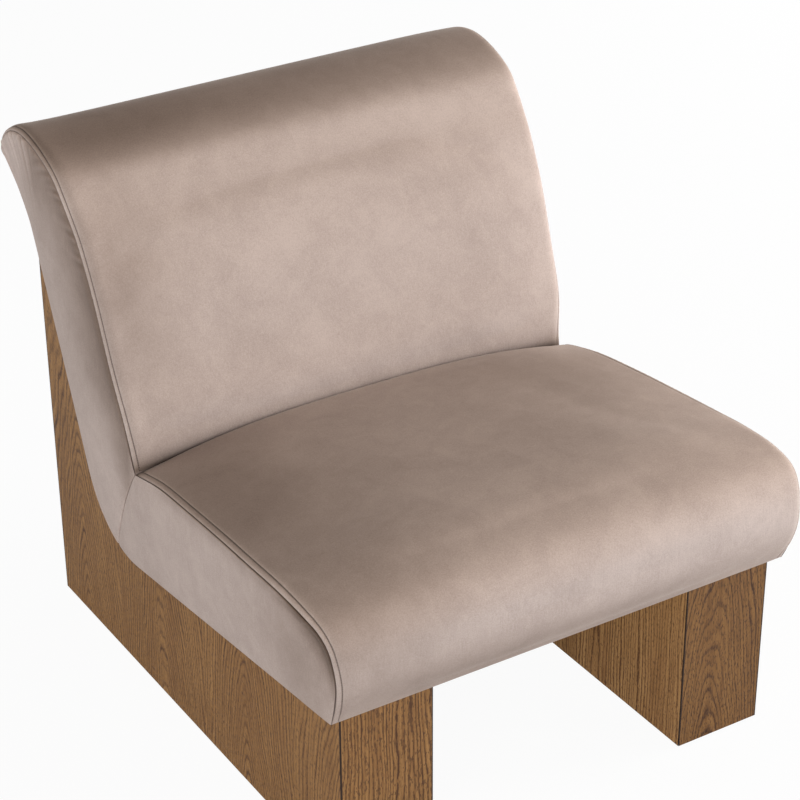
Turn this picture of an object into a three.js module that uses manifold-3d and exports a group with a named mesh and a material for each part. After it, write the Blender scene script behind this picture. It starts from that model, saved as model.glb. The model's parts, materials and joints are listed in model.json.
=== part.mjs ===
// An armless slipper chair: a crowned seat and a leaning back with a scrolled top, both upholstered,
// lie in the cradle of two box legs whose top edges follow the upholstery.
// Millimetres, +Z up. The chair faces -Y. While it is drawn, y = 0 is the front face of the legs,
// x = 0 is the middle and z = 0 is the floor.

import * as THREE from "three";
import Module from "manifold-3d";

const wasm = await Module();
wasm.setup();

// Running gap between pieces that touch, and the distance within which corners are joined
const CLEARANCE = 0.3;
const WELD = 0.001;

// Box legs
const LEG_SPAN = 700;
const LEG_WIDTH = 141;
const LEG_DEPTH = 858;
const LEG_FRONT_HEIGHT = 271;
const PANEL = 18;
const BOARD = 18;
const BOTTOM_BOARD = 12;
const FLOOR_GAP = 2.5;
const GLIDE_LENGTH = 70;
const GLIDE_WIDTH = 24;
const GLIDE_INSET = 26;

// Cradle: the line on which the upholstery rests, seen from the side. Its corner lies CRADLE_DEPTH before
// the legs' rear face.
const SEAT_FALL = THREE.MathUtils.degToRad(6.3);
const RECLINE = THREE.MathUtils.degToRad(21.9);
const CRADLE_DEPTH = 204;
const CRADLE_RADIUS = 140;
const CRADLE_STEPS = 8;

// Upholstery. The crease and the foot of the roll's rear are so much higher than the legs' front top edge.
const SEAM_WIDTH = 734;
const COVER = 2;
const SIDE_PUFF = 5;
const SIDE_HEM = 14;
const SEAT_REACH = 547.5;
const SEAT_EDGE = 150.7;
const SEAT_CROWN = 38;
const SEAT_FLARE = 16.5;
const BACK_THICKNESS = 194.5;
const BACK_REACH = 362;
const BACK_RISE = 418.6;
const BACK_CROWN = 18;
const BACK_FLARE = 18.5;
const CREASE_HEIGHT = 110;
const CREASE_RISE = 37;
const CREASE_PUSH = 5;
const TUCK = 40;
const HEM = 32;
const SPLIT_RUN = 90;
const FOOT_HEIGHT = 304;

// Frame inside the upholstery. Its front lies behind the seat's lower corner, its seat above the legs'
// front top edge, and its rear seat rail ends behind the crease.
const FRAME_PLY = 24;
const RAIL = 22;
const FRAME_FRONT = 33;
const SEAT_FRAME_HEIGHT = 58;
const REAR_RAIL_DEPTH = 23;
const BACK_FOAM = 75;
const BACK_RAIL_HEIGHT = 66;
const LOWER_RAIL_UP = 60;
const LOWER_RAIL_INSET = 8;
const MIDDLE_RAIL_UP = 215;
const TOP_RAIL_UP = 335;
const ROLL_RAIL_RADIUS = 9;
const BLOCK = 60;
const BLOCK_HEIGHT = 28;
const INNER_FILLET = 24;

// Springs, webbing and sheets
const SPRING_WIRE = 3.8;
const SPRING_WIDTH = 50;
const SPRING_ARCH = 12;
const SPRING_LOOPS = 8;
const SPRING_COUNT = 5;
const SPRING_PITCH = 118;
const SPRING_STEPS = 48;
const SPRING_SIDES = 5;
const SPRING_PAD = 4;
const PAD_STEPS = 20;
const WEBBING = 2;
const WEBBING_WIDTH = 60;
const WEBBING_COUNT = 3;
const WEBBING_PITCH = 90;
const WEBBING_UP = 130;
const DUST_COVER = 1;

// Bolts from the legs into the frame
const BOLT = 8;
const BOLT_FLANGE = 20;
const BOLT_FLANGE_THICKNESS = 2;
const BOLT_HEAD = 13;
const BOLT_HEAD_HEIGHT = 6;
const BOLT_LENGTH = 46;
const BACK_BOLT_LENGTH = 36;
const BOLT_SIDES = 16;
const HEX = 6;

// Side outline of the seat's seam, from the front lower corner to the crease. Each row holds how far
// forward of the crease it lies as a share of SEAT_REACH, its height above the corner as a share of
// SEAT_EDGE, its crown at the middle of the seat as a share of SEAT_CROWN, and how far it stands out
// sideways as a share of SEAT_FLARE.
const seatRowShares = [
  [0.961, 0, 0, 0],
  [0.989, 0.261, 0.2, 0.18],
  [1, 0.476, 0.4, 0.29],
  [0.994, 0.65, 0.58, 0.4],
  [0.98, 0.807, 0.75, 0.58],
  [0.951, 0.914, 0.88, 0.79],
  [0.88, 0.98, 1, 0.97],
  [0.765, 1, 1.05, 1],
  [0.639, 0.98, 1.05, 0.94],
  [0.483, 0.949, 1.03, 0.81],
  [0.309, 0.902, 1, 0.7],
  [0.1425, 0.836, 0.98, 0.55],
  [0, 0.715, 1, 0.42],
];

// Side outline of the back's seam, from the crease over the roll to the seam under it. Each row holds
// how far behind the crease it lies as a share of BACK_REACH, its height above the crease as a share of
// BACK_RISE, its crown as a share of BACK_CROWN, how far it stands out sideways as a share of BACK_FLARE,
// and the padding under it as a share of BACK_FOAM.
const backRowShares = [
  [0, 0, 0, 0.375, 1],
  [0.074, 0.168, 0.75, 0.4, 1],
  [0.153, 0.331, 0.95, 0.5, 1],
  [0.244, 0.545, 1, 0.6, 1],
  [0.305, 0.66, 0.98, 0.65, 0.9],
  [0.36, 0.7475, 0.95, 0.7, 0.8],
  [0.4046, 0.802, 0.92, 0.76, 0.72],
  [0.46, 0.865, 0.88, 0.84, 0.62],
  [0.5207, 0.9212, 0.86, 0.9, 0.54],
  [0.6587, 0.9787, 0.78, 0.97, 0.44],
  [0.7966, 1, 0.72, 1, 0.38],
  [0.8964, 0.981, 0.6, 1, 0.34],
  [0.969, 0.9355, 0.45, 0.97, 0.3],
  [1, 0.8966, 0.2, 0.92, 0.28],
  [0.9953, 0.8672, 0.08, 0.82, 0.2],
  [0.97, 0.8514, 0, 0.7, 0.1],
];

// The rear of the back below that seam, down to the straight rear line: the same shares of place and flare
const rollUndersideShares = [
  [0.949, 0.8325, 0.6],
  [0.913, 0.775, 0.44],
  [0.886, 0.7057, 0.28],
  [0.8514, 0.6386, 0.16],
  [0.831, 0.5764, 0.08],
];

// Places across the covers, as shares of half their width, and the edge roll's share of the crown
const acrossShares = [-1, -0.975, -0.93, -0.84, -0.68, -0.38, 0, 0.38, 0.68, 0.84, 0.93, 0.975, 1];
const seatEdgeShare = 0.16;
const backEdgeShare = 0.62;
const EDGE_POWER = 26;
const CROWN_POWER = 2.9;
const ROW_STEPS = 2;
const PUFF_ROWS = 4;
const coreFlareShare = 0.45;
const splitBendShares = [0.3, 0.61, 0.46];

const LEG_HALF = LEG_SPAN / 2;
const SEAM_HALF = SEAM_WIDTH / 2;
const SKIN = COVER + CLEARANCE;
const FRAME_INNER = LEG_HALF - FRAME_PLY;

// Colours of the photograph's velvet and oak, and of the hidden materials
const finishes = {
  velvet: new THREE.MeshStandardMaterial({ color: 0xa8958a, roughness: 0.9, metalness: 0 }),
  oak: new THREE.MeshStandardMaterial({ color: 0x8b6a48, roughness: 0.55, metalness: 0 }),
  plywood: new THREE.MeshStandardMaterial({ color: 0xc9a77a, roughness: 0.7, metalness: 0 }),
  hardwood: new THREE.MeshStandardMaterial({ color: 0xb58f62, roughness: 0.7, metalness: 0 }),
  foam: new THREE.MeshStandardMaterial({ color: 0xe8dcb4, roughness: 0.95, metalness: 0 }),
  fibre: new THREE.MeshStandardMaterial({ color: 0xf0f0ee, roughness: 0.95, metalness: 0 }),
  webbing: new THREE.MeshStandardMaterial({ color: 0x3d3a36, roughness: 0.9, metalness: 0 }),
  cloth: new THREE.MeshStandardMaterial({ color: 0x23211f, roughness: 0.95, metalness: 0 }),
  steel: new THREE.MeshStandardMaterial({ color: 0x8f9296, roughness: 0.4, metalness: 1 }),
  nylon: new THREE.MeshStandardMaterial({ color: 0x2b2b2b, roughness: 0.6, metalness: 0 }),
};

const chair = new THREE.Group();

// A point of a side outline: how deep into the chair, how high, and how far from the middle plane
function side(depth, height, half = SEAM_HALF) {
  return new THREE.Vector3(half, depth, height);
}

// A direction in side view
function heading(depth, height) {
  return new THREE.Vector3(0, depth, height).normalize();
}

// The unit vector to the left of a direction in side view
function leftOf(direction) {
  return heading(-direction.z, direction.y);
}

// Moves an open line sideways to its left in side view, with mitred corners
function offsetLine(points, distance) {
  const last = points.length - 1;
  const across = (i) => leftOf(points[i + 1].clone().sub(points[i]));
  return points.map((point, i) => {
    const arriving = across(Math.max(i - 1, 0));
    const leaving = across(Math.min(i, last - 1));
    const shift = Array.isArray(distance) ? distance[i] : distance;
    const stretch = shift / (1 + arriving.dot(leaving));
    return point.clone().addScaledVector(arriving.add(leaving), stretch);
  });
}

// A smooth line through points, with the same number of steps between each two of them
function smoothLine(points) {
  return new THREE.CatmullRomCurve3(points).getPoints((points.length - 1) * ROW_STEPS);
}

// Values spread over the steps of smoothLine
function spreadValues(values) {
  const count = (values.length - 1) * ROW_STEPS;
  return Array.from({ length: count + 1 }, (_, i) => {
    const row = Math.min(Math.floor(i / ROW_STEPS), values.length - 2);
    return THREE.MathUtils.lerp(values[row], values[row + 1], i / ROW_STEPS - row);
  });
}

// Running lengths of a line at each of its points
function runningLengths(points) {
  const lengths = [0];
  points.slice(1).forEach((p, i) => lengths.push(lengths[i] + p.distanceTo(points[i])));
  return lengths;
}

// The point of a line at a length along it
function pointAlong(points, length) {
  const own = runningLengths(points);
  const found = own.findIndex((value) => value >= length);
  const next = found < 0 ? points.length - 1 : Math.max(found, 1);
  const along = (length - own[next - 1]) / (own[next] - own[next - 1]);
  return points[next - 1].clone().lerp(points[next], Math.min(along, 1));
}

// The stretch of a line between two lengths along it
function stretchOf(points, from, to) {
  const own = runningLengths(points);
  const inside = points.filter((_, i) => own[i] > from + CLEARANCE && own[i] < to - CLEARANCE);
  return [pointAlong(points, from), ...inside, pointAlong(points, to)];
}

// A line without points that all but coincide
function tidyLine(points) {
  return points.filter((point, i) => i === 0 || point.distanceTo(points[i - 1]) > CLEARANCE / 2);
}

// Points of two joined lines that face the points of another line, with their joint kept as a point
function facing(line, first, second) {
  const own = runningLengths(line);
  const ends = [first, second].map((part) => runningLengths(part).pop());
  const joint = (own[own.length - 1] * ends[0]) / (ends[0] + ends[1]);
  const split = own.findIndex((value) => value >= joint);
  const rest = own[own.length - 1] - own[split];
  return own.map((value, i) => (
    i <= split
      ? pointAlong(first, (ends[0] * value) / own[split])
      : pointAlong(second, (ends[1] * (value - own[split])) / rest)
  ));
}

// A closed solid from corners and triangles: corners that coincide are joined, triangles without
// area are left out, and the faces are turned outwards
function solidFrom(corners, triangles) {
  const places = new Map();
  const kept = [];
  const joined = corners.map((corner) => {
    const key = corner.toArray().map((value) => Math.round(value / WELD)).join();
    if (!places.has(key)) {
      places.set(key, kept.length);
      kept.push(corner);
    }
    return places.get(key);
  });
  const faces = triangles
    .map((triangle) => triangle.map((i) => joined[i]))
    .filter(([a, b, c]) => a !== b && b !== c && c !== a);
  const volume = faces.reduce((sum, [a, b, c]) => sum + kept[a].dot(kept[b].clone().cross(kept[c])), 0);
  const outward = volume > 0 ? faces : faces.map(([a, b, c]) => [a, c, b]);
  const geometry = new THREE.BufferGeometry();
  geometry.setAttribute("position", new THREE.Float32BufferAttribute(kept.flatMap((p) => p.toArray()), 3));
  geometry.setIndex(outward.flat());
  return geometry;
}

// Fills the space between two sheets of points that have the same rows and columns
function between(outer, inner) {
  const rows = outer.length;
  const columns = outer[0].length;
  const corners = [...outer.flat(), ...inner.flat()];
  const triangles = [];
  const outerAt = (r, c) => r * columns + c;
  const innerAt = (r, c) => (rows + r) * columns + c;
  const quad = (a, b, c, d) => triangles.push([a, b, c], [a, c, d]);
  for (let r = 0; r < rows - 1; r += 1) {
    for (let c = 0; c < columns - 1; c += 1) {
      quad(outerAt(r, c), outerAt(r + 1, c), outerAt(r + 1, c + 1), outerAt(r, c + 1));
      quad(innerAt(r, c), innerAt(r, c + 1), innerAt(r + 1, c + 1), innerAt(r + 1, c));
    }
    quad(outerAt(r, 0), innerAt(r, 0), innerAt(r + 1, 0), outerAt(r + 1, 0));
    const last = columns - 1;
    quad(outerAt(r + 1, last), innerAt(r + 1, last), innerAt(r, last), outerAt(r, last));
  }
  for (let c = 0; c < columns - 1; c += 1) {
    const last = rows - 1;
    quad(outerAt(0, c + 1), innerAt(0, c + 1), innerAt(0, c), outerAt(0, c));
    quad(outerAt(last, c), innerAt(last, c), innerAt(last, c + 1), outerAt(last, c + 1));
  }
  return solidFrom(corners, triangles);
}

// Reads a three.js geometry's corners and triangles into one closed solid
function weld(geometry) {
  const position = geometry.getAttribute("position");
  const corners = Array.from({ length: position.count }, (_, i) => (
    new THREE.Vector3().fromBufferAttribute(position, i)
  ));
  const order = geometry.index ? Array.from(geometry.index.array) : corners.map((_, i) => i);
  const triangles = Array.from({ length: order.length / 3 }, (_, i) => order.slice(3 * i, 3 * i + 3));
  return solidFrom(corners, triangles);
}

// A point of a plan or of a section
function flat(u, v) {
  return new THREE.Vector2(u, v);
}

// Extrudes a side outline across the chair, from one x to another
function acrossPrism(points, from, to) {
  const shape = new THREE.Shape(points.map((p) => flat(p.y, p.z)));
  const geometry = new THREE.ExtrudeGeometry(shape, { depth: to - from, bevelEnabled: false });
  const turn = new THREE.Matrix4().set(0, 0, 1, from, 1, 0, 0, 0, 0, 1, 0, 0, 0, 0, 0, 1);
  return weld(geometry.applyMatrix4(turn));
}

// Extrudes a plan outline upwards, from one z to another
function uprightPrism(points, from, to) {
  const geometry = new THREE.ExtrudeGeometry(new THREE.Shape(points), { depth: to - from, bevelEnabled: false });
  return weld(geometry.translate(0, 0, from));
}

function toSolid(geometry) {
  const vertProperties = new Float32Array(geometry.getAttribute("position").array);
  const triVerts = new Uint32Array(geometry.index.array);
  return new wasm.Manifold(new wasm.Mesh({ numProp: 3, vertProperties, triVerts }));
}

function fromSolid(solid) {
  const mesh = solid.getMesh();
  const geometry = new THREE.BufferGeometry();
  geometry.setAttribute("position", new THREE.BufferAttribute(mesh.vertProperties, 3));
  geometry.setIndex(new THREE.BufferAttribute(mesh.triVerts, 1));
  return geometry;
}

function cut(geometry, cutters) {
  return fromSolid(cutters.reduce((solid, cutter) => solid.subtract(toSolid(cutter)), toSolid(geometry)));
}

function common(geometry, other) {
  return fromSolid(toSolid(geometry).intersect(toSolid(other)));
}

function add(name, geometry, finish) {
  const mesh = new THREE.Mesh(geometry, finish);
  mesh.name = name;
  chair.add(mesh);
  return mesh;
}

// The cradle: the seat line falls to the rear, turns in an arc and climbs the rear line
const seatDirection = heading(Math.cos(SEAT_FALL), -Math.sin(SEAT_FALL));
const rearDirection = heading(Math.sin(RECLINE), Math.cos(RECLINE));
const forward = leftOf(rearDirection);
const seatLineHeight = (depth) => LEG_FRONT_HEIGHT - Math.tan(SEAT_FALL) * depth;
const cradleDepth = LEG_DEPTH - CRADLE_DEPTH;
const cradleCorner = side(cradleDepth, seatLineHeight(cradleDepth));
const cradleTurn = Math.acos(seatDirection.dot(rearDirection));
const cradleTangent = CRADLE_RADIUS * Math.tan(cradleTurn / 2);
const arcStart = cradleCorner.clone().addScaledVector(seatDirection, -cradleTangent);
const arcEnd = cradleCorner.clone().addScaledVector(rearDirection, cradleTangent);
const arcCentre = arcStart.clone().addScaledVector(leftOf(seatDirection), CRADLE_RADIUS);
const rearAt = (up) => cradleCorner.clone().addScaledVector(rearDirection, up);

function cradleArc() {
  const start = Math.atan2(arcStart.z - arcCentre.z, arcStart.y - arcCentre.y);
  return Array.from({ length: CRADLE_STEPS + 1 }, (_, i) => {
    const angle = start + (cradleTurn * i) / CRADLE_STEPS;
    return arcCentre.clone().addScaledVector(heading(Math.cos(angle), Math.sin(angle)), CRADLE_RADIUS);
  });
}

// The crease is where the seat meets the front line of the back
const frontAt = (up) => rearAt(up).addScaledVector(forward, BACK_THICKNESS);
const crease = frontAt((LEG_FRONT_HEIGHT + CREASE_HEIGHT - frontAt(0).z) / rearDirection.z);
const creaseShift = rearDirection.clone().multiplyScalar(CREASE_RISE).addScaledVector(forward, CREASE_PUSH);
const tuckDirection = heading(1, -1);
const tuckSide = leftOf(tuckDirection).multiplyScalar(CLEARANCE / 2);

// Rows of the side seams
const seatCorner = side(crease.y - seatRowShares[0][0] * SEAT_REACH, LEG_FRONT_HEIGHT + SKIN);
const seatRows = seatRowShares.map(([reach, edge, , flare]) => (
  side(crease.y - reach * SEAT_REACH, seatCorner.z + edge * SEAT_EDGE, SEAM_HALF + flare * SEAT_FLARE)
));
const creaseHalf = seatRows[seatRows.length - 1].x;
crease.x = creaseHalf;
const backPlace = (reach, rise, flare) => (
  side(crease.y + reach * BACK_REACH, crease.z + rise * BACK_RISE, SEAM_HALF + flare * BACK_FLARE)
);
const backRows = backRowShares.map(([reach, rise, , flare]) => backPlace(reach, rise, flare));

// The line on which the upholstery rests, from the front to the seam under the roll
const foot = rearAt((LEG_FRONT_HEIGHT + FOOT_HEIGHT - cradleCorner.z) / rearDirection.z);
const rollSeam = backRows[backRows.length - 1];
const undersideRows = rollUndersideShares.map((row) => backPlace(...row)).reverse();
const restFront = side(seatCorner.y, seatLineHeight(seatCorner.y));
const restLine = [restFront, ...cradleArc(), ...smoothLine([foot, ...undersideRows, rollSeam])];

// The middle of the seat and the back stands proud of the seams by their crown
function crownedRows(rows, shares, crown) {
  return offsetLine(rows, shares.map((row) => row[2] * crown));
}

const creaseSeat = crease.clone().sub(tuckSide);
const creaseBack = crease.clone().add(tuckSide);
const seatMiddleRows = crownedRows(seatRows, seatRowShares, SEAT_CROWN);
const backMiddleRows = crownedRows(backRows, backRowShares, BACK_CROWN);
const seatSeam = smoothLine([...seatRows.slice(0, -1), creaseSeat]);
const seatMiddle = smoothLine([...seatMiddleRows.slice(0, -1), creaseSeat.clone().add(creaseShift)]);
const backSeam = smoothLine([creaseBack, ...backRows.slice(1)]);
const backMiddle = smoothLine([creaseBack.clone().add(creaseShift), ...backMiddleRows.slice(1)]);

// How much of the middle's crown a place across the cover has
function crownShare(across, edgeShare) {
  const edge = 1 - Math.abs(across) ** EDGE_POWER;
  const broad = 1 - Math.abs(across) ** CROWN_POWER;
  return THREE.MathUtils.lerp(broad, edge, edgeShare);
}

// The sheet of points of a crowned cover, or of foam under it, set in from its outer face
function crownedSheet(seam, middle, edgeShare, inset, places) {
  return places.map((across) => {
    const share = crownShare(across, edgeShare);
    const line = offsetLine(seam.map((point, i) => point.clone().lerp(middle[i], share)), -inset);
    return line.map((p, i) => new THREE.Vector3(across * (seam[i].x - SKIN), p.y, p.z));
  });
}

const hemEnd = side(seatCorner.y + HEM, seatLineHeight(seatCorner.y + HEM));
const tuckEnd = (start) => start.clone().addScaledVector(tuckDirection, TUCK).setX(SEAM_HALF - COVER);
const seatPath = [hemEnd, restFront, ...seatSeam.slice(1), tuckEnd(seatSeam[seatSeam.length - 1])];
const seatMiddlePath = [hemEnd, restFront, ...seatMiddle.slice(1), tuckEnd(seatMiddle[seatMiddle.length - 1])];
const backPath = [tuckEnd(backSeam[0]), ...backSeam];
const backMiddlePath = [tuckEnd(backMiddle[0]), ...backMiddle];

function addCovers() {
  const cover = (seam, middle, edgeShare) => between(
    crownedSheet(seam, middle, edgeShare, 0, acrossShares),
    crownedSheet(seam, middle, edgeShare, COVER, acrossShares),
  );
  add("seat_cover", cover(seatPath, seatMiddlePath, seatEdgeShare), finishes.velvet);
  add("back_cover", cover(backPath, backMiddlePath, backEdgeShare), finishes.velvet);
}

// Seat frame: its ends and its top, and the arch of the springs and their pad over it
const frameFront = seatCorner.y + FRAME_FRONT;
const frameBack = crease.y + REAR_RAIL_DEPTH;
const frameFall = Math.tan(SEAT_FALL / 3);
const seatFrameHeight = (depth) => LEG_FRONT_HEIGHT + SEAT_FRAME_HEIGHT - frameFall * (depth - frameFront);
const springStart = frameFront + RAIL / 2;
const springEnd = frameBack - RAIL / 2;
const springRest = CLEARANCE + SPRING_WIRE / 2;

function archRise(depth) {
  const share = THREE.MathUtils.clamp((depth - springStart) / (springEnd - springStart), 0, 1);
  return SPRING_ARCH * 4 * share * (1 - share);
}

const springHeight = (depth) => seatFrameHeight(depth) + springRest + archRise(depth);
const padUnderside = (depth) => springHeight(depth) + springRest;
const padTop = (depth) => padUnderside(depth) + SPRING_PAD;

// The seat foam's inside, in side view: down the front rail's face and over the spring pad
const foamSeam = [seatCorner, ...seatPath.slice(2)];
const railFace = frameFront - CLEARANCE;
const faceEnd = foamSeam.filter((p) => p.y < railFace).length - 1;
const seatCore = foamSeam.map((p, i) => {
  const depth = THREE.MathUtils.clamp(p.y, railFace, tuckEnd(creaseSeat).y - BACK_FOAM / 3);
  const high = padTop(depth) + 2 * CLEARANCE;
  const low = seatLineHeight(railFace) + SKIN;
  return side(depth, THREE.MathUtils.lerp(low, high, Math.min(i / faceEnd, 1)), p.x);
});

// The back foam's inside: along the front edges of the side frames into the roll, and down round their tips
const frameEnd = (backRowShares.length - 4) * ROW_STEPS;
const backPads = spreadValues(backRowShares.map((row) => row[4] * BACK_FOAM));
const backEdge = offsetLine(backSeam, backPads.map((pad) => -pad)).slice(0, frameEnd + 1);
const foamTail = offsetLine(restLine, SKIN + 2 * CLEARANCE)[restLine.length - ROW_STEPS];
const backCore = backSeam.map((_, i) => {
  const beyond = (i - frameEnd) / (backSeam.length - 1 - frameEnd);
  return i <= frameEnd ? backEdge[i] : backEdge[frameEnd].clone().lerp(foamTail, beyond);
});
const backCoreFoot = backCore[0].clone().addScaledVector(rearDirection, -CREASE_PUSH);

// Foam between a crowned sheet under its cover and a core line, whose sides lean in with the side panels
function crownedFoam(seam, middle, edgeShare, core) {
  const inner = acrossShares.map((across) => core.map((p) => {
    const half = THREE.MathUtils.lerp(SEAM_HALF, p.x, coreFlareShare) - SKIN;
    return new THREE.Vector3(across * half, p.y, p.z);
  }));
  return between(crownedSheet(seam, middle, edgeShare, SKIN + CLEARANCE, acrossShares), inner);
}

function addFoams() {
  const seatMiddleSeam = [seatCorner, ...seatMiddlePath.slice(2)];
  add("seat_foam", crownedFoam(foamSeam, seatMiddleSeam, seatEdgeShare, seatCore), finishes.foam);
  const core = [backCoreFoot, ...backCore];
  add("back_foam", crownedFoam(backPath, backMiddlePath, backEdgeShare, core), finishes.foam);
}

// The seam between the two side panels runs from the crease down to the cradle's arc
const beyondSplit = restLine.findIndex((p) => p.y > crease.y + SPLIT_RUN);
const beforeSplit = restLine[beyondSplit - 1];
const splitFoot = beforeSplit.clone().lerp(
  restLine[beyondSplit],
  (crease.y + SPLIT_RUN - beforeSplit.y) / (restLine[beyondSplit].y - beforeSplit.y),
);
const splitBend = new THREE.Vector3(
  THREE.MathUtils.lerp(crease.x, splitFoot.x, splitBendShares[0]),
  THREE.MathUtils.lerp(crease.y, splitFoot.y, splitBendShares[1]),
  THREE.MathUtils.lerp(crease.z, splitFoot.z, splitBendShares[2]),
);
const splitSeam = new THREE.QuadraticBezierCurve3(crease, splitBend, splitFoot).getPoints(4 * ROW_STEPS);
const restBefore = [...restLine.slice(0, beyondSplit), splitFoot];
const restBeyond = [splitFoot, ...restLine.slice(beyondSplit)];

// The upper and lower edges of each side panel, point against point
const seatSplit = offsetLine(splitSeam, -CLEARANCE / 2).reverse();
const backSplit = offsetLine(splitSeam, CLEARANCE / 2);
const seatPanelTop = [seatCorner, ...seatSeam.slice(1)];
const seatPanelFoot = facing(seatPanelTop, restBefore, seatSplit);
const seatPanelRest = seatPanelFoot.filter((p) => p.x < SEAM_HALF + CLEARANCE);
const backPanelFoot = facing(backSeam, backSplit, restBeyond);

// A line of a side panel's face: it puffs out between its edges
function panelLine(top, low, rise, out) {
  return top.map((point, i) => {
    const swell = Math.sin((Math.PI * i) / (top.length - 1)) * Math.sin(Math.PI * rise);
    const place = point.clone().lerp(low[i], rise);
    place.x += SIDE_PUFF * Math.sqrt(Math.max(swell, 0)) + out;
    return place;
  });
}

const panelRises = Array.from({ length: PUFF_ROWS + 1 }, (_, i) => i / PUFF_ROWS);

// The left side is the mirror image of the right side
function onSide(sheet, hand) {
  return sheet.map((line) => line.map((p) => new THREE.Vector3(hand * p.x, p.y, p.z)));
}

// A side panel, with its lower edge turned under where a hem is given for its points
function sidePanel(top, low, hems, hand) {
  const outer = panelRises.map((rise) => panelLine(top, low, rise, 0));
  const inner = panelRises.map((rise) => panelLine(top, low, rise, -COVER));
  const raised = offsetLine(low, COVER);
  const lastInner = inner[PUFF_ROWS].map((p, i) => (hems[i] ? side(raised[i].y, raised[i].z, p.x) : p));
  inner[PUFF_ROWS] = lastInner;
  outer.push(outer[PUFF_ROWS].map((p, i) => side(p.y, p.z, p.x - hems[i])));
  inner.push(lastInner.map((p, i) => (hems[i] ? side(p.y, p.z, p.x + COVER - hems[i]) : p)));
  return between(onSide(outer, hand), onSide(inner, hand));
}

function addSidePanels(name, hand) {
  const behindHem = seatPanelFoot.findIndex((p) => p.y > hemEnd.y);
  const seatHems = seatPanelFoot.map((_, i) => (i > behindHem && i < seatPanelRest.length - 1 ? SIDE_HEM : 0));
  add(`seat_side_panel_${name}`, sidePanel(seatPanelTop, seatPanelFoot, seatHems, hand), finishes.velvet);
  const backHems = backPanelFoot.map(() => 0);
  add(`back_side_panel_${name}`, sidePanel(backSeam, backPanelFoot, backHems, hand), finishes.velvet);
}

// Fibre pads fill the space between the side frames and the side panels, below and behind the foam
function addSidePads(name, hand) {
  const body = (top, low) => {
    const outer = panelRises.map((rise) => panelLine(top, low, rise, -SKIN - 2 * CLEARANCE));
    const inner = outer.map((line) => line.map((p) => side(p.y, p.z, LEG_HALF + CLEARANCE)));
    return between(onSide(outer, hand), onSide(inner, hand));
  };
  const reach = [hand * LEG_HALF, hand * (SEAM_HALF + SEAT_FLARE + BACK_FLARE)].sort((a, b) => a - b);
  const high = seatCore[seatCore.length - 1].z - CLEARANCE;
  const onSplit = (p) => p.z < high && p.z > splitFoot.z + SKIN + CLEARANCE;

  const seatOutline = [
    side(frameFront, seatLineHeight(frameFront) + SKIN),
    ...offsetLine(seatPanelRest, SKIN).filter((p) => p.y > frameFront),
    ...offsetLine(splitSeam, -CLEARANCE).reverse().filter(onSplit),
    ...seatCore.filter((p) => p.y > railFace).reverse().map((p) => side(p.y, p.z - CLEARANCE)),
    side(frameFront, padTop(railFace)),
  ];
  const seatPad = common(body(seatPanelTop, seatPanelFoot), acrossPrism(tidyLine(seatOutline), ...reach));
  add(`seat_side_pad_${name}`, seatPad, finishes.fibre);

  const backOutline = [
    ...offsetLine(restBeyond, SKIN).slice(0, -ROW_STEPS),
    ...offsetLine([backCoreFoot, ...backCore], -CLEARANCE).reverse(),
    ...offsetLine(splitSeam, CLEARANCE).filter(onSplit),
  ];
  const backPad = common(body(backSeam, backPanelFoot), acrossPrism(tidyLine(backOutline), ...reach));
  add(`back_side_pad_${name}`, backPad, finishes.fibre);
}

// Side frames: L-shaped plywood, set in from the covers and cut to the foam
const frameInset = SKIN + CLEARANCE;
const frameRear = offsetLine(restLine.filter((p) => p.y >= arcStart.y), frameInset).slice(1, -ROW_STEPS);
const frameEdge = offsetLine(backEdge, -(WEBBING + 2 * CLEARANCE));
const edgeAt = (up) => frontAt(up).addScaledVector(forward, -(BACK_FOAM + WEBBING + 2 * CLEARANCE));
const innerCornerUp = (() => {
  const base = edgeAt(0);
  return (seatFrameHeight(base.y) - base.z) / (rearDirection.z + frameFall * rearDirection.y);
})();

function frameOutline() {
  const corner = edgeAt(innerCornerUp);
  const fillet = new THREE.QuadraticBezierCurve3(
    corner.clone().addScaledVector(rearDirection, INNER_FILLET),
    corner,
    side(corner.y - INNER_FILLET, seatFrameHeight(corner.y - INNER_FILLET)),
  ).getPoints(2 * ROW_STEPS);
  return [
    side(frameFront, seatLineHeight(frameFront)),
    arcStart,
    ...frameRear,
    ...frameEdge.slice().reverse(),
    ...fillet,
    side(frameFront, seatFrameHeight(frameFront)),
  ];
}

function addSideFrame(name, hand) {
  const faces = [hand * FRAME_INNER, hand * LEG_HALF].sort((a, b) => a - b);
  add(`side_frame_${name}`, acrossPrism(frameOutline(), ...faces), finishes.plywood);
}

// A bolt stands on its flange and points along +Z
function boltGeometry(length) {
  const radius = BOLT / 2;
  const flange = BOLT_FLANGE / 2;
  const profile = [
    flat(0, -BOLT_FLANGE_THICKNESS),
    flat(flange, -BOLT_FLANGE_THICKNESS),
    flat(flange, 0),
    flat(radius, 0),
    flat(radius, length),
    flat(0, length),
  ];
  const shank = weld(new THREE.LatheGeometry(profile, BOLT_SIDES).rotateX(Math.PI / 2));
  const hex = new THREE.CylinderGeometry(BOLT_HEAD / 2, BOLT_HEAD / 2, BOLT_HEAD_HEIGHT, HEX).rotateX(Math.PI / 2);
  const head = weld(hex.translate(0, 0, -BOLT_HEAD_HEIGHT / 2 - BOLT_FLANGE_THICKNESS / 2));
  return fromSolid(toSolid(shank).add(toSolid(head)));
}

// The hole that a bolt's shank passes through, with clearance all round
function boltHole(length) {
  const radius = BOLT / 2 + CLEARANCE;
  const hole = new THREE.CylinderGeometry(radius, radius, length + 2 * BOLT, BOLT_SIDES).rotateX(Math.PI / 2);
  return weld(hole.translate(0, 0, length / 2 + CLEARANCE - BOLT));
}

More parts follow.
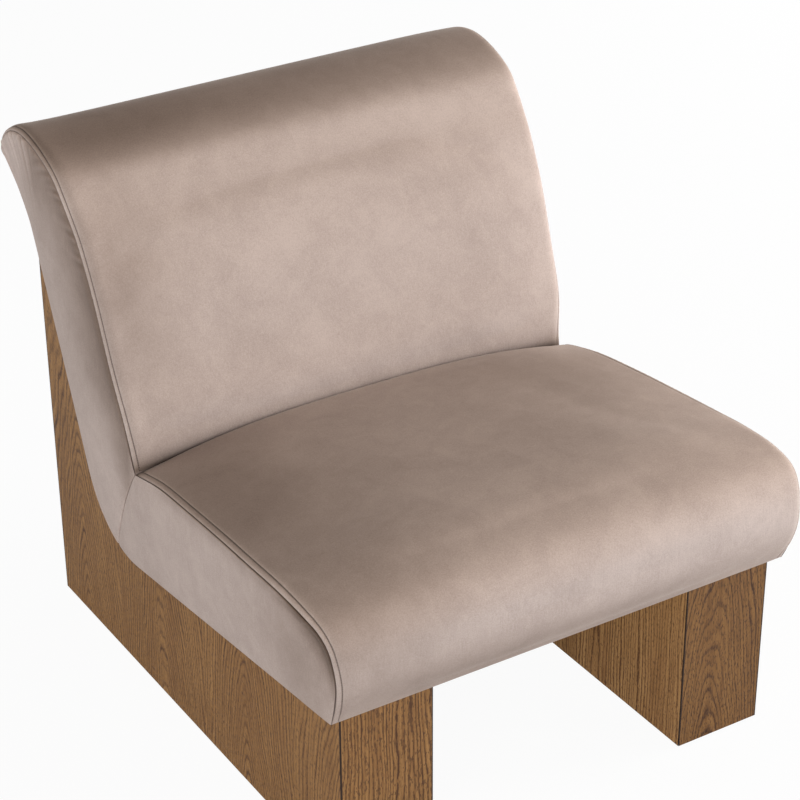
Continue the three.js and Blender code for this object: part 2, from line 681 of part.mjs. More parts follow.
const legMiddle = LEG_HALF - LEG_WIDTH / 2;
const boardLow = 3 * CLEARANCE + BOARD;

// Where each bolt starts, in side view, and how far it leans from the vertical
function seatBoltPlace(depth) {
  const start = side(depth, seatLineHeight(depth)).addScaledVector(leftOf(seatDirection), -boardLow);
  return { start, lean: -SEAT_FALL, length: BOLT_LENGTH };
}

function backBoltPlace() {
  const start = rearAt(MIDDLE_RAIL_UP + BACK_RAIL_HEIGHT / 2).addScaledVector(forward, -boardLow);
  return { start, lean: Math.PI / 2 - RECLINE, length: BACK_BOLT_LENGTH };
}

const boltPlaces = {
  front: seatBoltPlace(frameFront + RAIL / 2),
  rear: seatBoltPlace(frameBack - RAIL / 2),
  back: backBoltPlace(),
};

function boltHoles({ start, lean, length }) {
  return [-1, 1].map((hand) => {
    const turn = new THREE.Matrix4().makeRotationX(lean).setPosition(hand * legMiddle, start.y, start.z);
    return boltHole(length).applyMatrix4(turn);
  });
}

function addBolts(name, hand) {
  Object.entries(boltPlaces).forEach(([spot, { start, lean, length }]) => {
    const bolt = add(`leg_bolt_${name}_${spot}`, boltGeometry(length), finishes.steel);
    bolt.rotation.x = lean;
    bolt.position.set(hand * legMiddle, start.y, start.z);
  });
}

// Rails run between the side frames
function addRail(name, outline, holes) {
  const half = FRAME_INNER - CLEARANCE;
  add(name, cut(acrossPrism(outline, -half, half), holes), finishes.hardwood);
}

// The section of a rail of the back: it starts at a line beside the back and stands square to it
function backRailOutline(line, up, inset, thickness) {
  const low = line(up).addScaledVector(forward, inset);
  const high = line(up + BACK_RAIL_HEIGHT).addScaledVector(forward, inset);
  const across = forward.clone().multiplyScalar(thickness);
  return [low, high, high.clone().add(across), low.clone().add(across)];
}

function addRails() {
  const seatRail = (front) => [
    side(front, seatLineHeight(front)),
    side(front + RAIL, seatLineHeight(front + RAIL)),
    side(front + RAIL, seatFrameHeight(front + RAIL)),
    side(front, seatFrameHeight(front)),
  ];
  addRail("front_rail", seatRail(frameFront), boltHoles(boltPlaces.front));
  addRail("rear_seat_rail", seatRail(frameBack - RAIL), boltHoles(boltPlaces.rear));
  const lowerUp = innerCornerUp + LOWER_RAIL_UP;
  addRail("lower_back_rail", backRailOutline(edgeAt, lowerUp, -LOWER_RAIL_INSET, -RAIL), []);
  const middleRail = backRailOutline(rearAt, MIDDLE_RAIL_UP, frameInset, RAIL);
  addRail("middle_back_rail", middleRail, boltHoles(boltPlaces.back));
  addRail("top_back_rail", backRailOutline(rearAt, TOP_RAIL_UP, frameInset, RAIL), []);
  const tip = frameEdge[frameEnd].clone().add(frameEdge[frameEnd - 2 * ROW_STEPS]);
  tip.add(frameRear[frameRear.length - 1]).divideScalar(3);
  addRail("roll_rail", Array.from({ length: BOLT_SIDES }, (_, i) => {
    const angle = (2 * Math.PI * i) / BOLT_SIDES;
    return tip.clone().addScaledVector(heading(Math.cos(angle), Math.sin(angle)), ROLL_RAIL_RADIUS);
  }), []);
}

// Triangular blocks glued into the corners of the seat frame
function addCornerBlocks(name, hand) {
  const corner = hand * (FRAME_INNER - 2 * CLEARANCE);
  const addBlock = (spot, face, direction) => {
    const plan = [flat(corner, face), flat(corner - hand * BLOCK, face), flat(corner, face + direction * BLOCK)];
    const low = seatLineHeight(face + direction * BLOCK / 2) + BLOCK_HEIGHT / 2;
    add(`corner_block_${spot}_${name}`, uprightPrism(plan, low, low + BLOCK_HEIGHT), finishes.hardwood);
  };
  addBlock("front", frameFront + RAIL + CLEARANCE, 1);
  addBlock("rear", frameBack - RAIL - CLEARANCE, -1);
}

// Sinuous springs arch from the front rail to the rear seat rail
class SpringLine extends THREE.Curve {
  constructor(middle) {
    super();
    this.middle = middle;
  }

  getPoint(t, target = new THREE.Vector3()) {
    const depth = THREE.MathUtils.lerp(springStart, springEnd, t);
    const swing = (SPRING_WIDTH / 2) * Math.sin(2 * Math.PI * SPRING_LOOPS * t);
    return target.set(this.middle + swing, depth, springHeight(depth));
  }
}

function addSprings() {
  const radius = SPRING_WIRE / 2;
  const section = new THREE.Shape(Array.from({ length: SPRING_SIDES }, (_, i) => {
    const angle = (2 * Math.PI * i) / SPRING_SIDES;
    return flat(radius * Math.cos(angle), radius * Math.sin(angle));
  }));
  for (let i = 0; i < SPRING_COUNT; i += 1) {
    const middle = (i - (SPRING_COUNT - 1) / 2) * SPRING_PITCH;
    const options = { steps: SPRING_STEPS, extrudePath: new SpringLine(middle) };
    add(`seat_spring_${i + 1}`, weld(new THREE.ExtrudeGeometry(section, options)), finishes.steel);
  }
}

// The pad over the springs, as a sheet that follows their arch
function addSpringPad() {
  const depths = Array.from({ length: PAD_STEPS + 1 }, (_, i) => (
    THREE.MathUtils.lerp(frameFront, frameBack, i / PAD_STEPS)
  ));
  const top = depths.map((depth) => side(depth, padTop(depth) - CLEARANCE));
  const low = depths.map((depth) => side(depth, padUnderside(depth)));
  const half = LEG_HALF - CLEARANCE;
  add("spring_pad", acrossPrism([...low, ...top.reverse()], -half, half), finishes.fibre);
}

// Elastic webbing across the back, on the front edges of the side frames
function addWebbing() {
  for (let i = 0; i < WEBBING_COUNT; i += 1) {
    const from = WEBBING_UP + i * WEBBING_PITCH;
    const line = stretchOf(frameEdge, from, from + WEBBING_WIDTH);
    const outline = [...offsetLine(line, CLEARANCE), ...offsetLine(line, CLEARANCE + WEBBING).reverse()];
    add(`back_webbing_${i + 1}`, acrossPrism(outline, -LEG_HALF, LEG_HALF), finishes.webbing);
  }
}

// The outside back runs from the split seam to the roll's seam, and the dust cover closes the seat
function addHiddenCovers() {
  const line = stretchOf(restBeyond, 2 * CLEARANCE, runningLengths(restBeyond).pop() - 2 * CLEARANCE);
  const raised = offsetLine(line, COVER);
  const row = (points, hand) => points.map((p, i) => side(p.y, p.z, hand * (line[i].x - SKIN)));
  const sheet = between([row(line, -1), row(line, 1)], [row(raised, -1), row(raised, 1)]);
  add("outside_back_cover", cut(sheet, boltHoles(boltPlaces.back)), finishes.velvet);
  const half = LEG_HALF - LEG_WIDTH - CLEARANCE;
  const start = hemEnd.y + CLEARANCE;
  const dust = [side(start, seatLineHeight(start)), ...restBefore.slice(1)];
  const outline = [...offsetLine(dust, -CLEARANCE - DUST_COVER), ...offsetLine(dust, -CLEARANCE).reverse()];
  add("dust_cover", acrossPrism(outline, -half, half), finishes.cloth);
}

// Box legs: panels mitred at the upright corners, with their tops cut to the cradle, whose line runs on
// past their faces
const legLine = [
  side(-PANEL, seatLineHeight(-PANEL)),
  ...restLine.filter((p) => p.y > 0),
  side(Math.max(rollSeam.y, LEG_DEPTH) + PANEL, rollSeam.z),
];
const legTop = offsetLine(legLine, -CLEARANCE);
const legFoot = [legTop[0], legTop[legTop.length - 1]].map((p) => side(p.y, FLOOR_GAP));
const legOutline = [...legFoot, ...legTop.slice().reverse()];
const legCut = acrossPrism(legOutline, -SEAM_HALF, SEAM_HALF);

// A panel with mitred ends, drawn in plan from its outer face, which runs from a to b, to its inner face
function addMitredPanel(name, a, b) {
  const along = b.clone().sub(a).normalize();
  const inward = flat(-along.y, along.x);
  const joint = CLEARANCE / Math.SQRT2;
  const start = a.clone().addScaledVector(along, joint);
  const end = b.clone().addScaledVector(along, -joint);
  const plan = [
    start,
    end,
    end.clone().addScaledVector(along, -PANEL).addScaledVector(inward, PANEL),
    start.clone().addScaledVector(along, PANEL).addScaledVector(inward, PANEL),
  ];
  add(name, common(uprightPrism(plan, 0, crease.z + BACK_RISE), legCut), finishes.oak);
}

function addLegBoards(name, hand) {
  const faces = [
    hand * (LEG_HALF - LEG_WIDTH + PANEL + CLEARANCE),
    hand * (LEG_HALF - PANEL - CLEARANCE),
  ].sort((a, b) => a - b);
  const front = PANEL + CLEARANCE;
  const rear = LEG_DEPTH - PANEL - CLEARANCE;
  const board = (line) => acrossPrism(
    [...offsetLine(line, -boardLow), ...offsetLine(line, -2 * CLEARANCE).reverse()],
    ...faces,
  );

  const slack = boardLow * Math.sin(SEAT_FALL);
  const seatLine = [side(front + slack, seatLineHeight(front + slack)), arcStart];
  const seatHoles = [...boltHoles(boltPlaces.front), ...boltHoles(boltPlaces.rear)];
  add(`seat_board_${name}`, cut(board(seatLine), seatHoles), finishes.plywood);

  const climb = (rear - boardLow * Math.cos(RECLINE) - arcEnd.y) / rearDirection.y;
  const backLine = [arcEnd, arcEnd.clone().addScaledVector(rearDirection, climb)];
  add(`back_board_${name}`, cut(board(backLine), boltHoles(boltPlaces.back)), finishes.plywood);

  const floor = [
    side(front, FLOOR_GAP),
    side(rear, FLOOR_GAP),
    side(rear, FLOOR_GAP + BOTTOM_BOARD),
    side(front, FLOOR_GAP + BOTTOM_BOARD),
  ];
  add(`bottom_board_${name}`, acrossPrism(floor, ...faces), finishes.plywood);
}

// Glides: strips with round ends under the bottom board
function addGlides(name, hand) {
  const middle = hand * legMiddle;
  const radius = GLIDE_WIDTH / 2;
  const straight = GLIDE_LENGTH / 2 - radius;
  const addGlide = (spot, depth) => {
    const plan = new THREE.Shape();
    plan.absarc(middle + straight, depth, radius, -Math.PI / 2, Math.PI / 2, false);
    plan.absarc(middle - straight, depth, radius, Math.PI / 2, (3 * Math.PI) / 2, false);
    const outline = plan.getPoints(BOLT_SIDES / 2);
    add(`glide_${name}_${spot}`, uprightPrism(outline, 0, FLOOR_GAP - CLEARANCE), finishes.nylon);
  };
  addGlide("front", PANEL + GLIDE_INSET);
  addGlide("rear", LEG_DEPTH - PANEL - GLIDE_INSET);
}

function addLeg(name, hand) {
  const left = hand < 0 ? -LEG_HALF : LEG_HALF - LEG_WIDTH;
  const right = left + LEG_WIDTH;
  const [leftName, rightName] = hand < 0 ? ["outer", "inner"] : ["inner", "outer"];
  addMitredPanel(`leg_${name}_front_panel`, flat(left, 0), flat(right, 0));
  addMitredPanel(`leg_${name}_${rightName}_panel`, flat(right, 0), flat(right, LEG_DEPTH));
  addMitredPanel(`leg_${name}_rear_panel`, flat(right, LEG_DEPTH), flat(left, LEG_DEPTH));
  addMitredPanel(`leg_${name}_${leftName}_panel`, flat(left, LEG_DEPTH), flat(left, 0));
  addLegBoards(name, hand);
  addGlides(name, hand);
}

[["left", -1], ["right", 1]].forEach(([name, hand]) => {
  addLeg(name, hand);
  addBolts(name, hand);
  addSideFrame(name, hand);
  addCornerBlocks(name, hand);
  addSidePads(name, hand);
  addSidePanels(name, hand);
});
addRails();
addSprings();
addSpringPad();
addWebbing();
addFoams();
addCovers();
addHiddenCovers();

// The origin is on the floor, below the middle of the chair's whole depth
const extent = new THREE.Box3().setFromObject(chair);
chair.position.y = -(extent.min.y + extent.max.y) / 2;

export default chair;
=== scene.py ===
"""Slipper chair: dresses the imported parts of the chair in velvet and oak.

Metres, +Z up, the chair faces -Y. The upholstery is sewn here as two padded forms, the seat and the back, whose seams
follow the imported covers. The legs keep their packed panels and get oak veneer.
"""

import json
import logging
import math
from dataclasses import dataclass
from enum import Enum

import bmesh
import bpy
import numpy as np
from mathutils import Matrix, Vector


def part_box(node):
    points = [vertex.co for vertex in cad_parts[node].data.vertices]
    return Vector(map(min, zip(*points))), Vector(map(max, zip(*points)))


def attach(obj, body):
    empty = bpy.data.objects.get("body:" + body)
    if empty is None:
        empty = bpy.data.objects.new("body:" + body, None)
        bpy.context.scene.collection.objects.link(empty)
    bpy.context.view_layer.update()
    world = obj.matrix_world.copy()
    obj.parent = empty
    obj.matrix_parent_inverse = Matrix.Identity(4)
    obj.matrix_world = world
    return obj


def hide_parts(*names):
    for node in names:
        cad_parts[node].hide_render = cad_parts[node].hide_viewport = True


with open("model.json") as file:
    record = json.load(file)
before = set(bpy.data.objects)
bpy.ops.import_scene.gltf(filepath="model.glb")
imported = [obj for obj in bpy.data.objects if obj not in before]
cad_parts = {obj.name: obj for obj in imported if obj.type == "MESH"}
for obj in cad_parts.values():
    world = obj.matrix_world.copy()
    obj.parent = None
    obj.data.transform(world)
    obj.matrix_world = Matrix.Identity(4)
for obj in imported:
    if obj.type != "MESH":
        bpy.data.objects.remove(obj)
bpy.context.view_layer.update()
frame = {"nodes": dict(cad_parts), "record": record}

log = logging.getLogger("slipper_chair")

MM = 0.001
ROOT = "root"
SIDES = {"left": -1.0, "right": 1.0}


class Region(Enum):
    """The pieces of cloth of a sewn form, as they run round its section."""

    COVER = 0
    LEFT_PANEL = 1
    UNDER = 2
    RIGHT_PANEL = 3


@dataclass(frozen=True)
class Cradle:
    """The line on which the upholstery rests in the legs, in side view.

    Depths run from the legs' front face to the rear, heights from the floor.
    """

    face: float
    front_height: float
    fall: float = math.radians(6.3)
    recline: float = math.radians(21.9)
    corner_depth: float = 0.654
    radius: float = 0.140
    arc_steps: int = 16

    @property
    def rearwards(self) -> np.ndarray:
        """Direction of the seat line, falling to the rear."""
        return np.array([0.0, math.cos(self.fall), -math.sin(self.fall)])

    @property
    def upwards(self) -> np.ndarray:
        """Direction of the rear line, climbing behind the back."""
        return np.array([0.0, math.sin(self.recline), math.cos(self.recline)])

    @property
    def forwards(self) -> np.ndarray:
        """Direction square to the rear line, towards the front."""
        return np.array([0.0, -math.cos(self.recline), math.sin(self.recline)])

    def height(self, depth: float) -> float:
        """Height of the seat line at a depth."""
        return self.front_height - math.tan(self.fall) * depth

    def corner(self) -> np.ndarray:
        """Where the seat line and the rear line would meet."""
        return np.array([0.0, self.corner_depth, self.height(self.corner_depth)])

    def rear_at(self, up: float) -> np.ndarray:
        """A point of the rear line, some way up from the corner."""
        return self.corner() + up * self.upwards

    def arc(self) -> np.ndarray:
        """The arc that joins the two lines."""
        turn = math.acos(float(self.rearwards @ self.upwards))
        tangent = self.radius * math.tan(turn / 2)
        start = self.corner() - tangent * self.rearwards
        centre = start + self.radius * np.array([0.0, math.sin(self.fall), math.cos(self.fall)])
        first = math.atan2(start[2] - centre[2], start[1] - centre[1])
        angles = first + turn * np.linspace(0, 1, self.arc_steps + 1)
        rows = [[0.0, math.cos(a), math.sin(a)] for a in angles]
        return centre + self.radius * np.array(rows)


def left_of(direction: np.ndarray) -> np.ndarray:
    """Unit vectors to the left of directions in side view.

    Args:
        direction: one row of x, y, z for each direction.

    Returns:
        The rows turned by a quarter in the side plane, with unit length.
    """
    turned = np.stack([0 * direction[:, 0], -direction[:, 2], direction[:, 1]], axis=1)
    return turned / np.linalg.norm(turned, axis=1, keepdims=True)


def offset_line(points: np.ndarray, distance: "float | np.ndarray") -> np.ndarray:
    """Moves an open line to its left in side view, with mitred corners.

    Args:
        points: the line, one row for each point.
        distance: how far, for the whole line or for each point.

    Returns:
        The moved line.
    """
    across = left_of(np.diff(points, axis=0))
    arriving = np.vstack([across[:1], across])
    leaving = np.vstack([across, across[-1:]])
    spread = 1 + np.sum(arriving * leaving, axis=1)
    stretch = np.broadcast_to(distance, len(points)) / np.maximum(spread, 0.2)
    return points + (arriving + leaving) * stretch[:, None]


def smooth_line(points: np.ndarray, steps: int = 24) -> np.ndarray:
    """A smooth line through points, with as many steps between each two of them.

    Args:
        points: the points that the line passes through.
        steps: steps from each point to the next.

    Returns:
        The points of a centripetal Catmull-Rom line.
    """
    ends = [2 * points[0] - points[1], *points, 2 * points[-1] - points[-2]]
    line = []
    for p0, p1, p2, p3 in zip(ends, ends[1:], ends[2:], ends[3:]):
        t1 = np.linalg.norm(p1[:3] - p0[:3]) ** 0.5
        t2 = t1 + np.linalg.norm(p2[:3] - p1[:3]) ** 0.5
        t3 = t2 + np.linalg.norm(p3[:3] - p2[:3]) ** 0.5
        for t in np.linspace(t1, t2, steps, endpoint=False):
            a1 = p0 + (p1 - p0) * (t / t1)
            a2 = p1 + (p2 - p1) * ((t - t1) / (t2 - t1))
            a3 = p2 + (p3 - p2) * ((t - t2) / (t3 - t2))
            b1 = a1 + (a2 - a1) * (t / t2)
            b2 = a2 + (a3 - a2) * ((t - t1) / (t3 - t1))
            line.append(b1 + (b2 - b1) * ((t - t1) / (t2 - t1)))
    return np.array([*line, points[-1]])


def lengths_along(points: np.ndarray) -> np.ndarray:
    """Running length of a line at each of its points."""
    steps = np.linalg.norm(np.diff(points[:, :3], axis=0), axis=1)
    return np.concatenate([[0.0], np.cumsum(steps)])


def resampled(points: np.ndarray, places: np.ndarray) -> np.ndarray:
    """A line's points at shares of its length.

    Args:
        points: the line; columns past the third are carried along.
        places: shares from 0 to 1.

    Returns:
        One row for each share.
    """
    own = lengths_along(points)
    at = places * own[-1]
    return np.stack([np.interp(at, own, column) for column in points.T], axis=1)


@dataclass(frozen=True)
class SeamRows:
    """Outline of a cover's side seam, given as shares of its own sizes.

    Each row of shares holds reach, height, crown at the middle, sideways flare, and how much of the crown the
    rounded edge beside the seam has.
    """

    start: np.ndarray
    reach: float
    height: float
    crown: float
    flare: float
    half_width: float
    shares: tuple

    def seam(self) -> np.ndarray:
        """The seam's rows, with the crown and the edge's share of it as the fourth and fifth columns."""
        rows = []
        for reach, height, crown, flare, edge in self.shares:
            depth = self.start[1] + reach * self.reach
            rows.append([self.half_width + flare * self.flare, depth, self.start[2] + height * self.height,
                         crown * self.crown, edge])
        return np.array(rows)


SEAT_SHARES = (
    (-0.961, 0, 0, 0, 0.9),
    (-0.989, 0.261, 0.2, 0.18, 0.9),
    (-1, 0.476, 0.4, 0.29, 0.66),
    (-0.994, 0.65, 0.58, 0.4, 0.54),
    (-0.98, 0.807, 0.75, 0.58, 0.42),
    (-0.951, 0.914, 0.88, 0.79, 0.36),
    (-0.88, 0.98, 1, 0.97, 0.28),
    (-0.765, 1, 1.04, 1, 0.18),
    (-0.639, 0.98, 1.02, 0.94, 0.12),
    (-0.483, 0.949, 0.98, 0.81, 0.08),
    (-0.309, 0.902, 0.94, 0.68, 0.06),
    (-0.1425, 0.836, 0.92, 0.5, 0.06),
    (0, 0.715, 0.93, 0.4, 0.06),
)

BACK_SHARES = (
    (0, 0, 0.5, 0.375, 0.8),
    (0.074, 0.168, 0.75, 0.4, 0.9),
    (0.153, 0.331, 0.95, 0.5, 0.9),
    (0.244, 0.545, 1, 0.6, 0.92),
    (0.305, 0.66, 0.98, 0.65, 0.94),
    (0.36, 0.7475, 0.95, 0.7, 0.97),
    (0.4046, 0.802, 0.92, 0.76, 1.0),
    (0.46, 0.865, 0.88, 0.84, 1.0),
    (0.5207, 0.9212, 0.86, 0.9, 0.97),
    (0.6587, 0.9787, 0.66, 0.97, 0.92),
    (0.7966, 1, 0.54, 1, 0.9),
    (0.8964, 0.981, 0.46, 1, 0.95),
    (0.969, 0.9355, 0.45, 0.97, 1.0),
    (1, 0.8966, 0.2, 0.92, 1.0),
    (0.9953, 0.8672, 0.08, 0.82, 1.0),
    (0.97, 0.8514, 0, 0.7, 1.0),
)

ROLL_UNDERSIDE_SHARES = (
    (0.949, 0.8325, 0.6),
    (0.913, 0.775, 0.44),
    (0.886, 0.7057, 0.28),
    (0.8514, 0.6386, 0.16),
    (0.831, 0.5764, 0.08),
)


@dataclass(frozen=True)
class Gathers:
    """Small folds where a side panel or a cover is drawn in along a seam.

    Start and end are metres along the seam, reach is how far the folds run out from it, and slant is how far a fold
    runs along the seam for each metre that it leaves it.
    """

    start: float
    end: float
    height: float
    reach: float
    pitch: float
    slant: float = 0.0
    on_panel: bool = True
    on_cover: bool = False

    def relief(self, along: np.ndarray, distance: np.ndarray, left: np.ndarray) -> np.ndarray:
        """Height of the folds at places beside the seams.

        Args:
            along: metres along the seam.
            distance: metres from it, below zero on the panels.
            left: one on the chair's left side and zero on its right, so that the sides differ.

        Returns:
            The height at each place.
        """
        away = np.abs(distance)
        beat = along + self.slant * away + 0.004 * left
        phase = 2 * np.pi * beat / self.pitch + 1.7 * np.sin(beat / (0.75 * self.pitch) + 2.0 * left)
        ripple = np.sin(phase) * (0.6 + 0.4 * np.sin(0.37 * phase + 1.0 + left))
        fade = np.clip(np.minimum(along - self.start, self.end - along) / (18 * MM), 0, 1)
        reach = np.exp(-(away / self.reach) ** 1.6) * np.clip(away / (2.5 * MM), 0, 1)
        chosen = (distance < 0) * self.on_panel + (distance >= 0) * self.on_cover
        return self.height * ripple * reach * fade * chosen


@dataclass(frozen=True)
class Dimple:
    """A soft hollow or rise beside a seam, of a length along it, a width out from it and a height."""

    along: float
    distance: float
    length: float
    width: float
    height: float
    slant: float = 0.0

    def relief(self, along: np.ndarray, distance: np.ndarray, left: np.ndarray) -> np.ndarray:
        """Height at places beside the seams, a little less on the chair's right side."""
        away = distance - self.distance
        run = (along - self.along - self.slant * away) / self.length
        return self.height * np.exp(-run ** 2 - (away / self.width) ** 2) * (0.75 + 0.25 * left)


@dataclass(frozen=True)
class PaintedShadingPatch:
    """A soft patch of painted light where its tone is above zero and painted shade where it is below."""

    middle: tuple
    reach: tuple
    tone: float
    on_panel: bool = True
    on_cover: bool = True

    def tones(self, points: np.ndarray, along: np.ndarray, distance: np.ndarray) -> np.ndarray:
        """The change of tone at points, given their places along the seams and distances from them."""
        share = (points - np.array(self.middle)) / np.array(self.reach)
        chosen = (distance < 0) * self.on_panel + (distance >= 0) * self.on_cover
        return self.tone * np.exp(-np.sum(share ** 2, axis=1)) * chosen


@dataclass(frozen=True)
class PaintedPanelShade:
    """Painted shade on a stretch of side panel, strongest at the seam; a tone above zero paints light instead."""

    start: float
    end: float
    tone: float
    reach: float
    fade: float = 60 * MM

    def tones(self, points: np.ndarray, along: np.ndarray, distance: np.ndarray) -> np.ndarray:
        """The change of tone at points, given their places along the seams and distances from them."""
        inside = np.clip(np.minimum(along - self.start, self.end - along) / self.fade, 0, 1)
        return self.tone * inside * np.exp(-(distance / self.reach) ** 2) * (distance < 0)


@dataclass(frozen=True)
class PaintedTuckShade:
    """Painted shade at the end of a cover, darker where it turns in to be tucked away."""

    edge: float
    tone: float
    reach: float

    def tones(self, points: np.ndarray, along: np.ndarray, distance: np.ndarray) -> np.ndarray:
        """The change of tone at points, given their places along the seams and distances from them."""
        return self.tone * np.exp(-np.abs(along - self.edge) / self.reach) * (distance >= 0)


@dataclass
class Sewing:
    """How the covers are sewn and filled.

    Steps are distances from a seam over the cloth, in millimetres, and sinks how far it swells or sinks there.
    """

    cover_steps: tuple = (0, 1.0, 2.2, 4.2, 6.6, 8.4, 9.2, 10.0, 12.0, 15.5, 20.5, 27.0, 34.5)
    cover_sinks: tuple = (-1.7, -0.6, 0.1, 0.4, 0.2, -0.1, -1.3, -0.2, 0.3, 0.5, 0.35, 0.15, 0)
    panel_steps: tuple = (0, 1.0, 2.4, 5.0, 9.0, 14.0)
    panel_sinks: tuple = (-1.7, -0.4, 0.5, 1.0, 0.7, 0)
    foot_steps: tuple = (10.0, 4.5, 1.6)
    foot_sinks: tuple = (0.3, 0.1, -0.9)
    foot_edge: float = -2.4 * MM
    row_spacing: float = 5.0 * MM
    column_spacing: float = 13.0 * MM
    edge_radius: float = 20 * MM
    swell_cap: float = 7.0 * MM
    swell: float = 3.0 * MM
    evening: int = 30
    pressure: float = 4.0
    frames: int = 16


class SewnForm:
    """A padded form: a crowned cover over the top, a panel on each side and cloth below, sewn along its seams."""

    def __init__(self, name: str, seam: np.ndarray, low: np.ndarray, sewing: Sewing) -> None:
        """Keeps the outline of the form.

        Args:
            name: the piece's name.
            seam: the cover's seam, with the crown as its fourth column.
            low: the panel's lower edge, facing the seam from end to end.
            sewing: how it is sewn and filled.
        """
        self.name = name
        self.seam_line = seam
        self.low_line = low
        self.sewing = sewing
        self.crown_power = 2.9
        self.puff = 6.0 * MM
        self.tip = 25 * MM
        self.start_valley = 0.0
        self.end_valley = 0.0
        self.valley_reach = 10 * MM
        self.lean = 0.0
        self.right_draw = 0.0
        self.draw_reach = 58 * MM
        self.reliefs = []
        # Painted light and shade: patches of painted tone, and painted shade in the folds' hollows with painted light
        # on their crests
        self.painted_shading = []
        self.fold_shade = 0.2

    def row_places(self) -> np.ndarray:
        """Shares of the seam's length at which the form has rows."""
        length = lengths_along(self.seam_line)[-1]
        count = round(length / self.sewing.row_spacing)
        return np.linspace(0, 1, count + 1)

    def cover_profile(self, seam: np.ndarray) -> tuple:
        """Rounds the cover from the seam up to its crown.

        Args:
            seam: the seam's rows, with the crown and the edge's share of it.

        Returns:
            How far from the middle each place of the cover lies and how high over the seam, for each row.
        """
        steps = np.array(self.sewing.cover_steps) * MM
        radius = self.sewing.edge_radius
        turn = np.linspace(0, math.pi / 2, 33)
        inward, upward = [], []
        for edge in seam[:, 3] * seam[:, 4]:
            arc = np.stack([radius * (1 - np.cos(turn)), edge * np.sin(turn), 0 * turn], axis=1)
            arc = np.vstack([arc, arc[-1] + [steps[-1], 0, 0]])
            run = lengths_along(arc)
            inward.append(np.interp(steps, run, arc[:, 0]))
            upward.append(np.interp(steps, run, arc[:, 1]))
        half = seam[:, :1]
        edge_places = half - np.array(inward)
        count = 2 * round(float(half.max()) / self.sewing.column_spacing)
        middle = edge_places[:, -1:] * np.linspace(1, -1, count + 1)[None, 1:-1]
        across = np.hstack([edge_places, middle, -edge_places[:, ::-1]])
        rise = np.hstack([upward, np.repeat(np.array(upward)[:, -1:], count - 1, axis=1), np.array(upward)[:, ::-1]])
        broad = (seam[:, 3] * (1 - seam[:, 4]))[:, None] * (1 - np.abs(across / half) ** self.crown_power)
        return across, rise + broad

    def valley(self, places: np.ndarray, length: float) -> np.ndarray:
        """How far the cover turns in where it is tucked away, at each row."""
        start = self.start_valley * np.exp(-((places * length) / self.valley_reach) ** 1.4)
        end = self.end_valley * np.exp(-(((1 - places) * length) / self.valley_reach) ** 1.4)
        return start + end

    def rings(self) -> np.ndarray:
        """The points of the form, one ring for each row.

        Returns:
            An array of rows, ring places and x, y, z.
        """
        places = self.row_places()
        seam = resampled(self.seam_line, places)
        low = resampled(self.low_line, places)[:, :3]
        length = lengths_along(self.seam_line)[-1]
        across, rise = self.cover_profile(seam)
        share = across / seam[:, :1]
        seam = seam[:, :3]
        outward = offset_line(seam, 1.0) - seam
        rise = rise - self.valley(places, length)[:, None] * (1 - np.abs(share) ** 12)
        rise = rise + self.lean * share * (1 - share ** 8) * np.sin(np.pi * places)[:, None] ** 0.5
        cover = seam[:, None, :] + outward[:, None, :] * rise[..., None]
        cover[..., 0] = across
        swell = np.sin(np.pi * places) ** 0.5
        panel = []
        for height in self.panel_rises()[1:-1]:
            line = seam * (1 - height) + low * height
            line[:, 0] += self.puff * swell * math.sin(math.pi * height) ** 0.55
            panel.append(line)
        panel = np.stack(panel, axis=1)
        under = np.repeat(low[:, None, :], cover.shape[1], axis=1)
        under[..., 0] = share * low[:, :1]
        for end, distance in ((0, places * length), (-1, (1 - places) * length)):
            closing = 0.5 * (1 + np.cos(np.pi * np.clip(distance / self.tip, 0, 1)))
            under = under + (cover[end] - under[end]) * closing[:, None, None]
        drawn = self.right_draw * np.exp(-(places * length / self.draw_reach) ** 2)
        cover[..., 0] -= drawn[:, None] * np.clip(share, 0, 1) ** 2
        right_panel = panel.copy()
        right_panel[..., 0] -= drawn[:, None]
        under[..., 0] -= drawn[:, None] * np.clip(share, 0, 1) ** 2
        self.columns = cover.shape[1]
        self.panel_count = panel.shape[1]
        self.panel_depths = np.linalg.norm(low - seam, axis=1)
        mirror = np.array([-1.0, 1.0, 1.0])
        return np.concatenate([cover, panel * mirror, under[:, ::-1], right_panel[:, ::-1]], axis=1)

    def panel_rises(self) -> np.ndarray:
        """Shares of a panel's height at which it has columns, closer together at the seam."""
        deepest = float(np.linalg.norm(self.seam_line[:, :3].mean(0) - self.low_line[:, :3].mean(0)))
        edge = np.array(self.sewing.panel_steps) * MM / deepest
        foot = 1 - np.array(self.sewing.foot_steps) * MM / deepest
        rest = np.linspace(edge[-1], foot[0], 13)[1:-1]
        return np.concatenate([edge, rest, foot, [1.0]])

    def regions(self) -> list:
        """The region of each place round the ring."""
        return ([Region.COVER] * self.columns + [Region.LEFT_PANEL] * self.panel_count
                + [Region.UNDER] * self.columns + [Region.RIGHT_PANEL] * self.panel_count)

    def sinks(self) -> np.ndarray:
        """How far the cloth sinks or swells at each place round the ring, by its distance from a seam."""
        cover = np.zeros(self.columns)
        edge = np.array(self.sewing.cover_sinks) * MM
        cover[:len(edge)] = edge
        cover[-len(edge):] = edge[::-1]
        panel = np.zeros(self.panel_count)
        side = np.array(self.sewing.panel_sinks[1:]) * MM
        panel[:len(side)] = side
        foot = np.array(self.sewing.foot_sinks) * MM
        panel[-len(foot):] = foot
        under = np.zeros(self.columns)
        under[[0, -1]] = self.sewing.foot_edge
        return np.concatenate([cover, panel, under, panel[::-1]])

